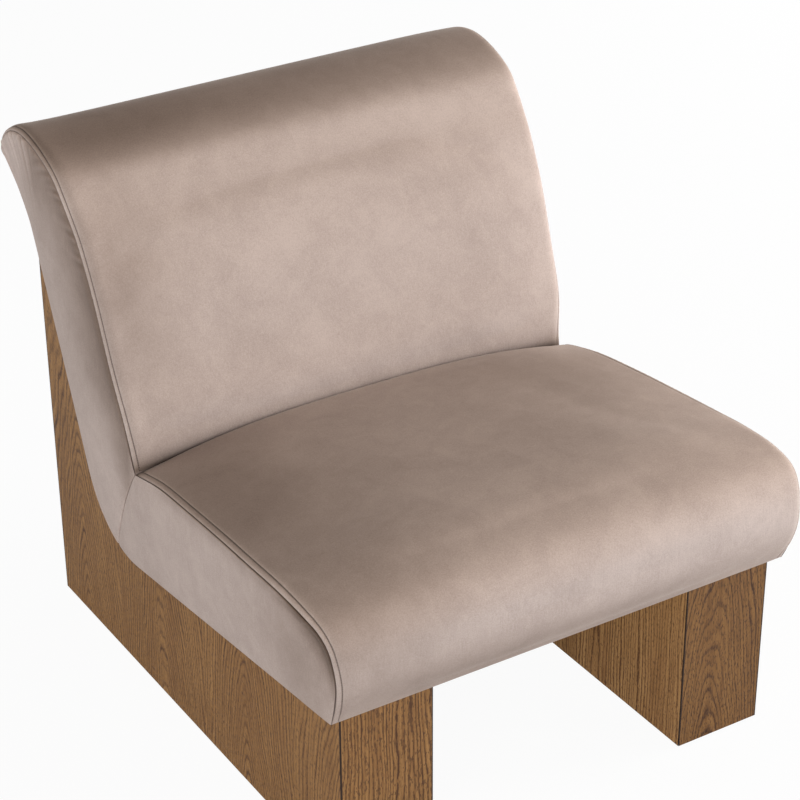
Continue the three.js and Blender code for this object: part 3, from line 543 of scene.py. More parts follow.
    def seam_distances(self) -> np.ndarray:
        """How far each place of each ring lies from the nearer seam, below zero down the panels."""
        steps = np.array(self.sewing.cover_steps) * MM
        count = self.columns - 2 * len(steps)
        inner = steps[-1] + self.sewing.column_spacing * np.minimum(np.arange(1, count + 1), np.arange(count, 0, -1))
        rows = len(self.panel_depths)
        cover = np.tile(np.concatenate([steps, inner, steps[::-1]]), (rows, 1))
        panel = -np.outer(self.panel_depths, self.panel_rises()[1:-1])
        under = -np.repeat(self.panel_depths[:, None], self.columns, axis=1)
        return np.hstack([cover, panel, under, panel[:, ::-1]])

    def foot_distances(self, along: np.ndarray) -> np.ndarray:
        """How far each place of each ring lies from a panel's lower edge, or on the covers from their ends."""
        ends = np.minimum(along, along[-1] - along)
        cover = np.repeat(ends[:, None], self.columns, axis=1)
        panel = np.outer(self.panel_depths, 1 - self.panel_rises()[1:-1])
        places = np.arange(self.columns)
        inwards = np.minimum(places, places[::-1]) * self.sewing.column_spacing
        under = np.repeat(np.minimum(inwards, 0.05)[None, :], len(along), axis=0)
        return np.hstack([cover, panel, under, panel[:, ::-1]])

    def build(self) -> bpy.types.Object:
        """Makes the closed mesh of the form, swells it and sews its seams.

        Returns:
            The finished object, with its place in its mesh.
        """
        rings = self.rings()
        rows, around, _ = rings.shape
        rings[..., 1] += LEG_FACE
        mesh = bpy.data.meshes.new(self.name)
        index = np.arange(rows * around).reshape(rows, around)
        turned = np.roll(index, -1, axis=1)
        quads = np.stack([index[:-1], index[1:], turned[1:], turned[:-1]], axis=-1).reshape(-1, 4)
        mesh.from_pydata(rings.reshape(-1, 3).tolist(), [], quads.tolist())
        body = bpy.data.objects.new(self.name, mesh)
        bpy.context.scene.collection.objects.link(body)
        self.mark(body, rows, around)
        self.uv_map(body, rings)
        close_mesh(body)
        self.inflate(body)
        self.sew(body)
        return body

    def mark(self, body: bpy.types.Object, rows: int, around: int) -> None:
        """Writes each vertex's place in the form as attributes, which outlive merging and subdivision.

        Args:
            body: the form's object.
            rows: how many rows it has.
            around: how many places a ring has.
        """
        sinks = np.tile(self.sinks(), rows)
        ends = np.linspace(0, 1, rows).repeat(around)
        regions = self.regions()
        held = np.array([1.0 if r is Region.UNDER else 0.0 for r in regions])
        seams = np.zeros(around)
        seams[[0, self.columns - 1]] = 1.0
        stitch = self.sewing.cover_steps.index(9.2)
        stitches = np.zeros(around)
        stitches[stitch] = 1.0
        stitches[self.columns - 1 - stitch] = 2.0
        values = {
            "sink": sinks,
            "place": ends,
            "held": np.tile(held, rows),
            "seam": np.tile(seams, rows),
            "stitch": np.tile(stitches, rows),
            "from_seam": self.seam_distances().reshape(-1),
            "from_foot": self.foot_distances(self.row_places() * lengths_along(self.seam_line)[-1]).reshape(-1),
            "along": ends * lengths_along(self.seam_line)[-1],
        }
        for name, value in values.items():
            layer = body.data.attributes.new(name, "FLOAT", "POINT")
            layer.data.foreach_set("value", np.asarray(value, np.float32))

    def uv_map(self, body: bpy.types.Object, rings: np.ndarray) -> None:
        """Lays the cloth flat: u runs along the seams and v round the form, both in metres."""
        along = lengths_along(rings[:, self.columns // 2])
        round_form = np.linalg.norm(np.diff(rings[len(rings) // 2], axis=0, append=rings[len(rings) // 2][:1]), axis=1)
        v = np.concatenate([[0.0], np.cumsum(round_form)])
        layer = body.data.uv_layers.new(name="cloth")
        rows, around, _ = rings.shape
        row, place = np.divmod(np.arange((rows - 1) * around), around)
        corners = [(row, place), (row + 1, place), (row + 1, place + 1), (row, place + 1)]
        uv = np.stack([np.stack([along[r], v[p]], axis=1) for r, p in corners], axis=1)
        layer.data.foreach_set("uv", uv.reshape(-1).astype(np.float32))

    def inflate(self, body: bpy.types.Object) -> None:
        """Lets the filling press the cloth out between its seams, as a cloth simulation with a capped move."""
        mesh = body.data
        count = len(mesh.vertices)
        start = coordinates(mesh)
        held = attribute(mesh, "held") + attribute(mesh, "seam")
        place = attribute(mesh, "place")
        group = body.vertex_groups.new(name="held")
        for i in range(count):
            grip = 1.0 if held[i] > 0.5 or place[i] < 0.02 or place[i] > 0.98 else 0.0
            group.add([i], grip, "REPLACE")
        cloth = body.modifiers.new("filling", "CLOTH")
        settings = cloth.settings
        settings.use_pressure = True
        settings.uniform_pressure_force = self.sewing.pressure
        settings.vertex_group_mass = group.name
        settings.effector_weights.gravity = 0.0
        settings.tension_stiffness = 40.0
        settings.compression_stiffness = 40.0
        settings.shear_stiffness = 20.0
        settings.bending_stiffness = 2.0
        settings.quality = 5
        cloth.collision_settings.use_collision = False
        cloth.point_cache.frame_start = 1
        cloth.point_cache.frame_end = self.sewing.frames
        scene = bpy.context.scene
        for step in range(1, self.sewing.frames + 1):
            scene.frame_set(step)
        swollen = evaluated_coordinates(body)
        body.modifiers.remove(cloth)
        scene.frame_set(1)
        normals = vertex_normals(mesh)
        outward = np.sum((swollen - start) * normals, axis=1)
        free = (1.0 - np.clip(held, 0, 1)) * np.clip((np.abs(attribute(mesh, "from_seam")) - 10 * MM) / (30 * MM), 0, 1)
        outward = evened(mesh, np.clip(outward, 0, self.sewing.swell_cap) * free, self.sewing.evening)
        swell = np.maximum(outward - self.sewing.swell, 0) * free
        log.info("%s swells by %.1f mm at most, %.1f mm on average", self.name, 1000 * swell.max(),
                 1000 * swell[free > 0.5].mean())
        set_coordinates(mesh, start + normals * swell[:, None])
        body.vertex_groups.clear()

    def sew(self, body: bpy.types.Object) -> None:
        """Draws the cloth in along its seams and stitch lines, and smooths the form."""
        mesh = body.data
        points = coordinates(mesh)
        place = attribute(mesh, "place")
        fade = np.clip(np.minimum(place, 1 - place) / 0.02, 0, 1)
        depth = attribute(mesh, "sink") * fade
        set_coordinates(mesh, points + vertex_normals(mesh) * depth[:, None])
        crease_seams(mesh)
        smooth = body.modifiers.new("smooth", "SUBSURF")
        smooth.levels = smooth.render_levels = 1
        bake_modifiers(body)
        self.brush(body.data)
        shade_smooth(body.data)

    def brush(self, mesh: bpy.types.Mesh) -> None:
        """Raises the gathers and folds of the finished cloth and paints light and shade on it: shade in the folds'
        hollows, light on their crests, and the painted patches.
        """
        points = coordinates(mesh)
        along = attribute(mesh, "along")
        distance = attribute(mesh, "from_seam")
        left = (points[:, 0] < 0).astype(float)
        height = np.zeros(len(points))
        for relief in self.reliefs:
            height += relief.relief(along, distance, left)
        points = points + vertex_normals(mesh) * height[:, None]
        set_coordinates(mesh, points)
        # Painted shade in the folds' hollows and painted light on their crests, then the painted patches of light and
        # shade.
        tone = self.fold_shade * np.clip(height / (2 * MM), -1, 1)
        for place in self.painted_shading:
            tone += place.tones(points, along, distance)
        tone = np.maximum(tone, -0.8)
        layer = mesh.attributes.new("painted_shading", "FLOAT", "POINT")
        layer.data.foreach_set("value", tone.astype(np.float32))


def coordinates(mesh: bpy.types.Mesh) -> np.ndarray:
    """The places of a mesh's vertices, one row each."""
    values = np.empty(len(mesh.vertices) * 3)
    mesh.vertices.foreach_get("co", values)
    return values.reshape(-1, 3)


def set_coordinates(mesh: bpy.types.Mesh, points: np.ndarray) -> None:
    """Moves a mesh's vertices to new places."""
    mesh.vertices.foreach_set("co", points.reshape(-1))
    mesh.update()


def vertex_normals(mesh: bpy.types.Mesh) -> np.ndarray:
    """The normals at a mesh's vertices, one row each."""
    values = np.empty(len(mesh.vertices) * 3)
    mesh.vertex_normals.foreach_get("vector", values)
    return values.reshape(-1, 3)


def attribute(mesh: bpy.types.Mesh, name: str) -> np.ndarray:
    """The values of one of a mesh's vertex attributes."""
    values = np.empty(len(mesh.vertices), np.float32)
    mesh.attributes[name].data.foreach_get("value", values)
    return values.astype(float)


def evened(mesh: bpy.types.Mesh, values: np.ndarray, rounds: int) -> np.ndarray:
    """Evens out values over a mesh.

    Args:
        mesh: the mesh.
        values: one value for each vertex.
        rounds: how often each is averaged with its neighbours.

    Returns:
        The evened values.
    """
    pairs = np.empty(len(mesh.edges) * 2, int)
    mesh.edges.foreach_get("vertices", pairs)
    first, second = pairs.reshape(-1, 2).T
    count = len(values)
    neighbours = np.maximum(np.bincount(first, minlength=count) + np.bincount(second, minlength=count), 1)
    for _ in range(rounds):
        total = np.bincount(first, values[second], count) + np.bincount(second, values[first], count)
        values = (values + total / neighbours) / 2
    return values


def evaluated_coordinates(piece: bpy.types.Object) -> np.ndarray:
    """The places of an object's vertices after its modifiers."""
    evaluated = piece.evaluated_get(bpy.context.evaluated_depsgraph_get())
    mesh = evaluated.to_mesh()
    points = coordinates(mesh)
    evaluated.to_mesh_clear()
    return points


def bake_modifiers(piece: bpy.types.Object) -> None:
    """Turns an object's modifiers into its mesh."""
    graph = bpy.context.evaluated_depsgraph_get()
    graph.update()
    old = piece.data
    piece.data = bpy.data.meshes.new_from_object(piece.evaluated_get(graph), preserve_all_data_layers=True,
                                                 depsgraph=graph)
    piece.modifiers.clear()
    piece.data.name = piece.name
    bpy.data.meshes.remove(old)


def shade_smooth(mesh: bpy.types.Mesh) -> None:
    """Shades every face of a mesh smooth."""
    mesh.polygons.foreach_set("use_smooth", [True] * len(mesh.polygons))
    mesh.update()


def close_mesh(piece: bpy.types.Object) -> None:
    """Merges doubled vertices, drops faces without area and turns the faces outwards."""
    sheet = bmesh.new()
    sheet.from_mesh(piece.data)
    bmesh.ops.remove_doubles(sheet, verts=sheet.verts, dist=0.02 * MM)
    bmesh.ops.dissolve_degenerate(sheet, edges=sheet.edges, dist=0.02 * MM)
    bmesh.ops.recalc_face_normals(sheet, faces=sheet.faces)
    if sheet.calc_volume(signed=True) < 0:
        bmesh.ops.reverse_faces(sheet, faces=sheet.faces)
    sheet.to_mesh(piece.data)
    sheet.free()


def crease_seams(mesh: bpy.types.Mesh) -> None:
    """Keeps the edges that lie along a seam sharp under subdivision."""
    seam = attribute(mesh, "seam") > 0.5
    layer = mesh.attributes.new("crease_edge", "FLOAT", "EDGE")
    pairs = np.empty(len(mesh.edges) * 2, int)
    mesh.edges.foreach_get("vertices", pairs)
    pairs = pairs.reshape(-1, 2)
    layer.data.foreach_set("value", (seam[pairs[:, 0]] & seam[pairs[:, 1]]).astype(np.float32) * 0.9)


class Shader:
    """A material whose nodes are added and joined in a few words."""

    def __init__(self, name: str) -> None:
        """Starts a material with one Principled shader."""
        self.material = bpy.data.materials.new(name)
        self.material.use_nodes = True
        self.nodes = self.material.node_tree.nodes
        self.links = self.material.node_tree.links
        self.surface = self.nodes["Principled BSDF"]

    def add(self, kind: str, **settings: object) -> bpy.types.Node:
        """Adds a node and sets its own settings."""
        node = self.nodes.new(kind)
        for key, value in settings.items():
            setattr(node, key, value)
        return node

    def join(self, source: bpy.types.NodeSocket, node: bpy.types.Node, target: "str | int") -> None:
        """Joins an output to a node's input."""
        self.links.new(source, node.inputs[target])

    def math(self, operation: str, first: object, second: object = 0.0, clamp: bool = False) -> bpy.types.NodeSocket:
        """A sum of two sockets or numbers.

        Args:
            operation: the Math node's operation.
            first: a socket or a number.
            second: a socket or a number.
            clamp: whether the result stays between 0 and 1.

        Returns:
            The result's socket.
        """
        node = self.add("ShaderNodeMath", operation=operation, use_clamp=clamp)
        for slot, value in enumerate((first, second)):
            if isinstance(value, bpy.types.NodeSocket):
                self.links.new(value, node.inputs[slot])
            else:
                node.inputs[slot].default_value = value
        return node.outputs[0]

    def mapped(self, coordinate: str, scale: tuple, offset: tuple = (0, 0, 0)) -> bpy.types.NodeSocket:
        """A texture coordinate, stretched and shifted."""
        source = self.add("ShaderNodeTexCoord")
        mapping = self.add("ShaderNodeMapping")
        mapping.inputs["Scale"].default_value = scale
        mapping.inputs["Location"].default_value = offset
        self.join(source.outputs[coordinate], mapping, "Vector")
        return mapping.outputs[0]

    def noise(self, vector: bpy.types.NodeSocket, scale: float, detail: float = 2.0,
              roughness: float = 0.5, distortion: float = 0.0) -> bpy.types.NodeSocket:
        """Noise between 0 and 1 on a coordinate."""
        node = self.add("ShaderNodeTexNoise")
        node.inputs["Scale"].default_value = scale
        node.inputs["Detail"].default_value = detail
        node.inputs["Roughness"].default_value = roughness
        node.inputs["Distortion"].default_value = distortion
        self.join(vector, node, "Vector")
        return node.outputs["Fac"]

    def ramp(self, value: bpy.types.NodeSocket, stops: list) -> bpy.types.NodeSocket:
        """Colours along a value.

        Args:
            value: the socket to read.
            stops: pairs of a position and a linear colour.

        Returns:
            The colour's socket.
        """
        node = self.add("ShaderNodeValToRGB")
        elements = node.color_ramp.elements
        while len(elements) < len(stops):
            elements.new(0.5)
        for element, (position, colour) in zip(elements, stops):
            element.position = position
            element.color = (*colour, 1.0)
        self.join(value, node, "Fac")
        return node.outputs["Color"]

    def mix(self, share: object, first: object, second: object, blend: str = "MIX") -> bpy.types.NodeSocket:
        """Two colours mixed by a share."""
        node = self.add("ShaderNodeMix", data_type="RGBA", blend_type=blend)
        for slot, value in ((0, share), (6, first), (7, second)):
            if isinstance(value, bpy.types.NodeSocket):
                self.links.new(value, node.inputs[slot])
            elif slot:
                node.inputs[slot].default_value = (*value, 1.0)
            else:
                node.inputs[slot].default_value = value
        return node.outputs[2]

    def colour(self, socket: bpy.types.NodeSocket) -> None:
        """Paints the surface."""
        self.join(socket, self.surface, "Base Color")

    def bump(self, height: bpy.types.NodeSocket, strength: float, distance: float) -> None:
        """Roughens the surface by a height."""
        node = self.add("ShaderNodeBump")
        node.inputs["Strength"].default_value = strength
        node.inputs["Distance"].default_value = distance
        self.join(height, node, "Height")
        self.join(node.outputs[0], self.surface, "Normal")


def linear(red: int, green: int, blue: int) -> tuple:
    """A colour given in bytes, as the linear numbers that shaders take."""
    shares = [value / 255 for value in (red, green, blue)]
    return tuple(v / 12.92 if v <= 0.04045 else ((v + 0.055) / 1.055) ** 2.4 for v in shares)


@dataclass(frozen=True)
class Velvet:
    """Short-pile velvet: soft clouds where the nap lies differently, a fine pile, dark seams, and painted light and
    shade: shade along the stitch lines, the panels' feet and the covers' ends, a warmer shade on faces turned up, a
    highlight on the strips beside the seams, and the painted light and shade that the mesh carries.
    """

    name: str = "velvet"
    light: tuple = linear(188, 173, 166)
    dark: tuple = linear(164, 149, 142)
    # Painted shade: faces turned up are tinted warmer, and darker in green and blue.
    upward: tuple = (1.07, 0.98, 0.89)
    # Dark colour of the seams' join lines, also used as painted shade along the panels' feet and the covers' ends.
    seam: tuple = linear(62, 50, 44)
    # Painted shade along the stitch line's groove.
    stitch_groove_shade: tuple = linear(58, 47, 42)
    roughness: float = 0.85
    sheen: float = 0.26
    sheen_roughness: float = 0.3
    stitch_line: float = 9.2 * MM
    # How much warmer the painted shade turns as it darkens.
    warmth: tuple = (1.0, 1.11, 1.22)
    roll_foot: float = 0.6

    def band(self, shader: Shader, value: bpy.types.NodeSocket, middle: float, flat: float,
             fade: float) -> bpy.types.NodeSocket:
        """One beside a line and zero away from it.

        Args:
            shader: the material.
            value: distances, in metres.
            middle: the distance at which the line lies.
            flat: half the line's width.
            fade: how far it fades out beyond that.

        Returns:
            The band's socket.
        """
        away = shader.math("ABSOLUTE", shader.math("SUBTRACT", value, middle))
        out = shader.math("DIVIDE", shader.math("SUBTRACT", away, flat), fade, clamp=True)
        return shader.math("SUBTRACT", 1.0, out)

    def material(self) -> bpy.types.Material:
        """Builds the material."""
        shader = Shader(self.name)
        body = shader.mapped("Object", (1, 1, 1))
        clouds = shader.noise(body, 8.0, 2.0, 0.5, 0.5)
        mottle = shader.noise(body, 28.0, 3.0, 0.55, 0.8)
        streaks = shader.noise(shader.mapped("Object", (420, 420, 46)), 1.0, 2.0, 0.6)
        grain = shader.noise(body, 620.0, 1.0, 0.5)
        lie = shader.math("ADD", shader.math("MULTIPLY", clouds, 0.36), shader.math("MULTIPLY", mottle, 0.28))
        fine = shader.math("ADD", shader.math("MULTIPLY", streaks, 0.22), shader.math("MULTIPLY", grain, 0.46))
        tint = shader.ramp(shader.math("ADD", lie, fine), [(0.47, self.dark), (0.83, self.light)])
        strip = shader.add("ShaderNodeAttribute", attribute_name="from_seam").outputs["Fac"]
        # Painted highlight on the strip between seam and stitch line, added to the painted light and shade that the
        # mesh attribute carries.
        strip_highlight = self.band(shader, strip, 4.8 * MM, 1.6 * MM, 2.0 * MM)
        painted_shading = shader.add("ShaderNodeAttribute", attribute_name="painted_shading").outputs["Fac"]
        painted_shading = shader.math("ADD", painted_shading, shader.math("MULTIPLY", strip_highlight, 0.05))
        # The painted light and shade lightens or darkens the tint, warmer where darker.
        level = shader.add("ShaderNodeCombineColor")
        for channel, warmth in enumerate(self.warmth):
            shader.join(shader.math("POWER", shader.math("ADD", painted_shading, 1.0), warmth), level, channel)
        tint = shader.mix(1.0, tint, level.outputs[0], "MULTIPLY")
        # Painted shade: faces turned up get the upward tint.
        facing = shader.add("ShaderNodeSeparateXYZ")
        shader.join(shader.add("ShaderNodeNewGeometry").outputs["Normal"], facing, "Vector")
        tint = shader.mix(shader.math("MAXIMUM", facing.outputs["Z"], 0.0), tint, self.upward, "MULTIPLY")
        # Painted shade along the stitch line's groove.
        stitch_shade_band = self.band(shader, strip, self.stitch_line, 0.15 * MM, 0.8 * MM)
        tint = shader.mix(shader.math("MULTIPLY", stitch_shade_band, 0.8), tint, self.stitch_groove_shade)
        # Dark join lines along the seams and the roll's rear seam, and painted shade along the panels' feet and the
        # covers' ends.
        foot = shader.add("ShaderNodeAttribute", attribute_name="from_foot").outputs["Fac"]
        parts = shader.add("ShaderNodeSeparateXYZ")
        shader.join(shader.add("ShaderNodeTexCoord").outputs["Object"], parts, "Vector")
        roll = shader.math("GREATER_THAN", parts.outputs["Z"], self.roll_foot)
        rear = shader.math("MULTIPLY", self.band(shader, foot, 4.0 * MM, 0.4 * MM, 1.1 * MM), roll)
        seam_lines_and_shade = shader.math("MAXIMUM", shader.math("MULTIPLY", self.band(shader, strip, 0.0, 0.25 * MM, 0.9 * MM), 0.72),
                             shader.math("MULTIPLY", self.band(shader, foot, 0.0, 0.4 * MM, 1.1 * MM), 0.6))
        seam_lines_and_shade = shader.math("MAXIMUM", seam_lines_and_shade, shader.math("MULTIPLY", rear, 0.75))
        shader.colour(shader.mix(seam_lines_and_shade, tint, self.seam))
        pile = shader.noise(body, 1400.0, 2.0, 0.7)
        shader.bump(pile, 0.32, 0.4 * MM)
        shader.surface.inputs["Roughness"].default_value = self.roughness
        shader.surface.inputs["Sheen Weight"].default_value = self.sheen
        shader.surface.inputs["Sheen Roughness"].default_value = self.sheen_roughness
        shader.surface.inputs["Sheen Tint"].default_value = (*linear(240, 228, 220), 1.0)
        shader.surface.inputs["Specular IOR Level"].default_value = 0.1
        return shader.material


@dataclass(frozen=True)
class Oak:
    """Oak veneer with upright grain, in leaves: steep arches over the log's middle, close lines beside them, pores."""

    name: str
    shift: float
    axis: str
    low: float
    high: float
    centre: float
    leaf: float = 0.26
    rise: float = 0.29
    ring: float = 7.0 * MM
    # Painted light and shade: the panel's overall brightness, warmer where darker.
    tone: float = 1.0
    light: tuple = linear(163, 124, 77)
    body: tuple = linear(136, 98, 58)
    line: tuple = linear(72, 43, 25)
    pore: tuple = linear(78, 49, 29)
    joint: tuple = linear(42, 27, 20)
    depth: float = 9 * MM
    arch_width: float = 75 * MM
    arch_top: float = 0.27
    drift: float = 22 * MM
    joint_width: float = 2.0 * MM

    def rings(self, shader: Shader, parts: bpy.types.Node) -> bpy.types.NodeSocket:
        """Counts the growth rings that a place lies in.

        Args:
            shader: the material.
            parts: the node that holds the place's x, y and z.

        Returns:
            The count's socket.
        """
        sway = shader.noise(shader.mapped("Object", (2.4, 2.4, 1.2), (self.shift, 0, 0)), 1.6, 2.0)
        across = shader.math("SUBTRACT", parts.outputs[self.axis], self.centre)
        bent = shader.math("ADD", shader.math("MULTIPLY", shader.math("SUBTRACT", sway, 0.5), 0.05), across)
        leaves = shader.math("ADD", shader.math("DIVIDE", bent, self.leaf), 0.5)
        number = shader.math("FLOOR", leaves)
        inside = shader.math("MULTIPLY", shader.math("SUBTRACT", shader.math("FRACT", leaves), 0.5), self.leaf)
        chance = shader.math("FRACT", shader.math("ADD", shader.math("MULTIPLY", number, 0.618), 100 + self.shift))
        depth = shader.math("ADD", shader.math("MULTIPLY", chance, 0.012), self.depth)
        squares = shader.math("ADD", shader.math("MULTIPLY", inside, inside), shader.math("MULTIPLY", depth, depth))
        waver = shader.noise(shader.mapped("Object", (15, 15, 5), (0, self.shift, 0)), 2.2, 3.0, 0.55)
        drift = shader.noise(shader.mapped("Object", (34, 34, 1.6), (self.shift, 0, 0)), 1.0, 1.0)
        value = shader.math("ADD", shader.math("SQRT", squares), shader.math("MULTIPLY", waver, 0.011))
        value = shader.math("ADD", value, shader.math("MULTIPLY", drift, self.drift))
        share = shader.math("DIVIDE", inside, self.arch_width)
        fade = shader.math("DIVIDE", 1.0, shader.math("ADD", shader.math("MULTIPLY", share, share), 1.0))
        climb = shader.math("MULTIPLY", shader.math("SUBTRACT", parts.outputs["Z"], self.arch_top), self.rise)
        climb = shader.math("ADD", shader.math("MULTIPLY", climb, fade), chance)
        return shader.math("DIVIDE", shader.math("ADD", value, climb), self.ring)

    def material(self) -> bpy.types.Material:
        """Builds the material."""
        shader = Shader(self.name)
        source = shader.add("ShaderNodeTexCoord")
        parts = shader.add("ShaderNodeSeparateXYZ")
        shader.join(source.outputs["Object"], parts, "Vector")
        rings = self.rings(shader, parts)
        phase = shader.math("FRACT", rings)
        chance = shader.add("ShaderNodeTexWhiteNoise", noise_dimensions="1D")
        shader.join(shader.math("FLOOR", rings), chance, "W")
        strength = shader.math("ADD", shader.math("MULTIPLY", chance.outputs["Value"], 0.8), 0.2)
        growth = shader.ramp(phase, [(0.0, self.body), (0.04, self.line), (0.21, self.line), (0.31, self.body),
                                     (0.58, self.light), (0.85, self.light), (1.0, self.body)])
        drift = shader.noise(shader.mapped("Object", (26, 26, 2.4), (self.shift, 0, 0)), 1.0, 3.0, 0.6)
        ground = shader.ramp(drift, [(0.35, self.body), (0.68, self.light)])
        pores = shader.noise(shader.mapped("Object", (560, 560, 150), (0, self.shift, 0)), 1.0, 1.0, 0.5)
        dashes = shader.math("MULTIPLY", shader.math("SUBTRACT", pores, 0.28), 5.5, clamp=True)
        figured = shader.mix(shader.math("MULTIPLY", strength, dashes), ground, growth)
        streak = shader.noise(shader.mapped("Object", (380, 380, 14), (self.shift, 0, 0)), 1.0, 3.0, 0.65)
        tones = shader.ramp(streak, [(0.32, linear(206, 196, 186)), (0.62, linear(255, 253, 250))])
        toned = shader.mix(0.9, figured, tones, "MULTIPLY")
        early = shader.math("SUBTRACT", 1.0, shader.math("MULTIPLY", phase, 1.6), clamp=True)
        limit = shader.math("SUBTRACT", 0.585, shader.math("MULTIPLY", early, 0.09))
        open_pores = shader.math("MULTIPLY", shader.math("SUBTRACT", pores, limit), 12.0, clamp=True)
        grained = shader.mix(shader.math("MULTIPLY", open_pores, 0.72), toned, self.pore)
        # Painted light and shade: the tone brightens or darkens the whole panel.
        shade = (self.tone, self.tone ** 1.2, self.tone ** 1.6)
        grained = shader.mix(1.0, grained, shade, "MULTIPLY")
        place = parts.outputs[self.axis]
        edge = shader.math("MINIMUM", shader.math("SUBTRACT", place, self.low), shader.math("SUBTRACT", self.high, place))
        inner = shader.math("DIVIDE", shader.math("SUBTRACT", edge, 0.7 * self.joint_width), 0.5 * MM, clamp=True)
        shader.colour(shader.mix(inner, self.joint, grained))
        relief = shader.math("SUBTRACT", shader.math("MULTIPLY", streak, 0.3), open_pores)
        shader.bump(relief, 0.3, 0.3 * MM)
        shader.surface.inputs["Roughness"].default_value = 0.5
        shader.surface.inputs["Specular IOR Level"].default_value = 0.3
        return shader.material


@dataclass(frozen=True)
class Plain:
    """A hidden material: two tones in a fine grain, with a slight roughness."""

    name: str
    light: tuple
    dark: tuple
    stretch: tuple = (60, 60, 60)
    roughness: float = 0.8
    metallic: float = 0.0

    def material(self) -> bpy.types.Material:
        """Builds the material."""
        shader = Shader(self.name)
        grain = shader.noise(shader.mapped("Object", self.stretch), 4.0, 4.0, 0.6)
        shader.colour(shader.ramp(grain, [(0.35, self.dark), (0.65, self.light)]))
        shader.bump(grain, 0.3, 0.5 * MM)
        shader.surface.inputs["Roughness"].default_value = self.roughness
        shader.surface.inputs["Metallic"].default_value = self.metallic
        return shader.material


HIDDEN = {
    "plywood": Plain("plywood", linear(206, 174, 130), linear(184, 150, 106), (8, 8, 120)),
    "hardwood": Plain("hardwood", linear(190, 150, 104), linear(164, 124, 82), (6, 80, 80)),
    "foam": Plain("foam", linear(235, 224, 190), linear(220, 208, 170), (300, 300, 300), 0.95),
    "fibre": Plain("fibre", linear(240, 240, 236), linear(222, 222, 218), (160, 160, 160), 0.95),
    "webbing": Plain("webbing", linear(70, 66, 60), linear(44, 42, 38), (400, 400, 400), 0.9),
    "cloth": Plain("dust_cloth", linear(44, 42, 40), linear(28, 27, 26), (500, 500, 500), 0.95),
    "steel": Plain("steel", linear(170, 172, 174), linear(140, 142, 146), (200, 200, 200), 0.35, 1.0),
    "nylon": Plain("nylon", linear(46, 46, 46), linear(36, 36, 36), (300, 300, 300), 0.55),
}

LEG_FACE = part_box("leg_left_front_panel")[0].y
FRONT_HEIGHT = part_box("leg_left_front_panel")[1].z


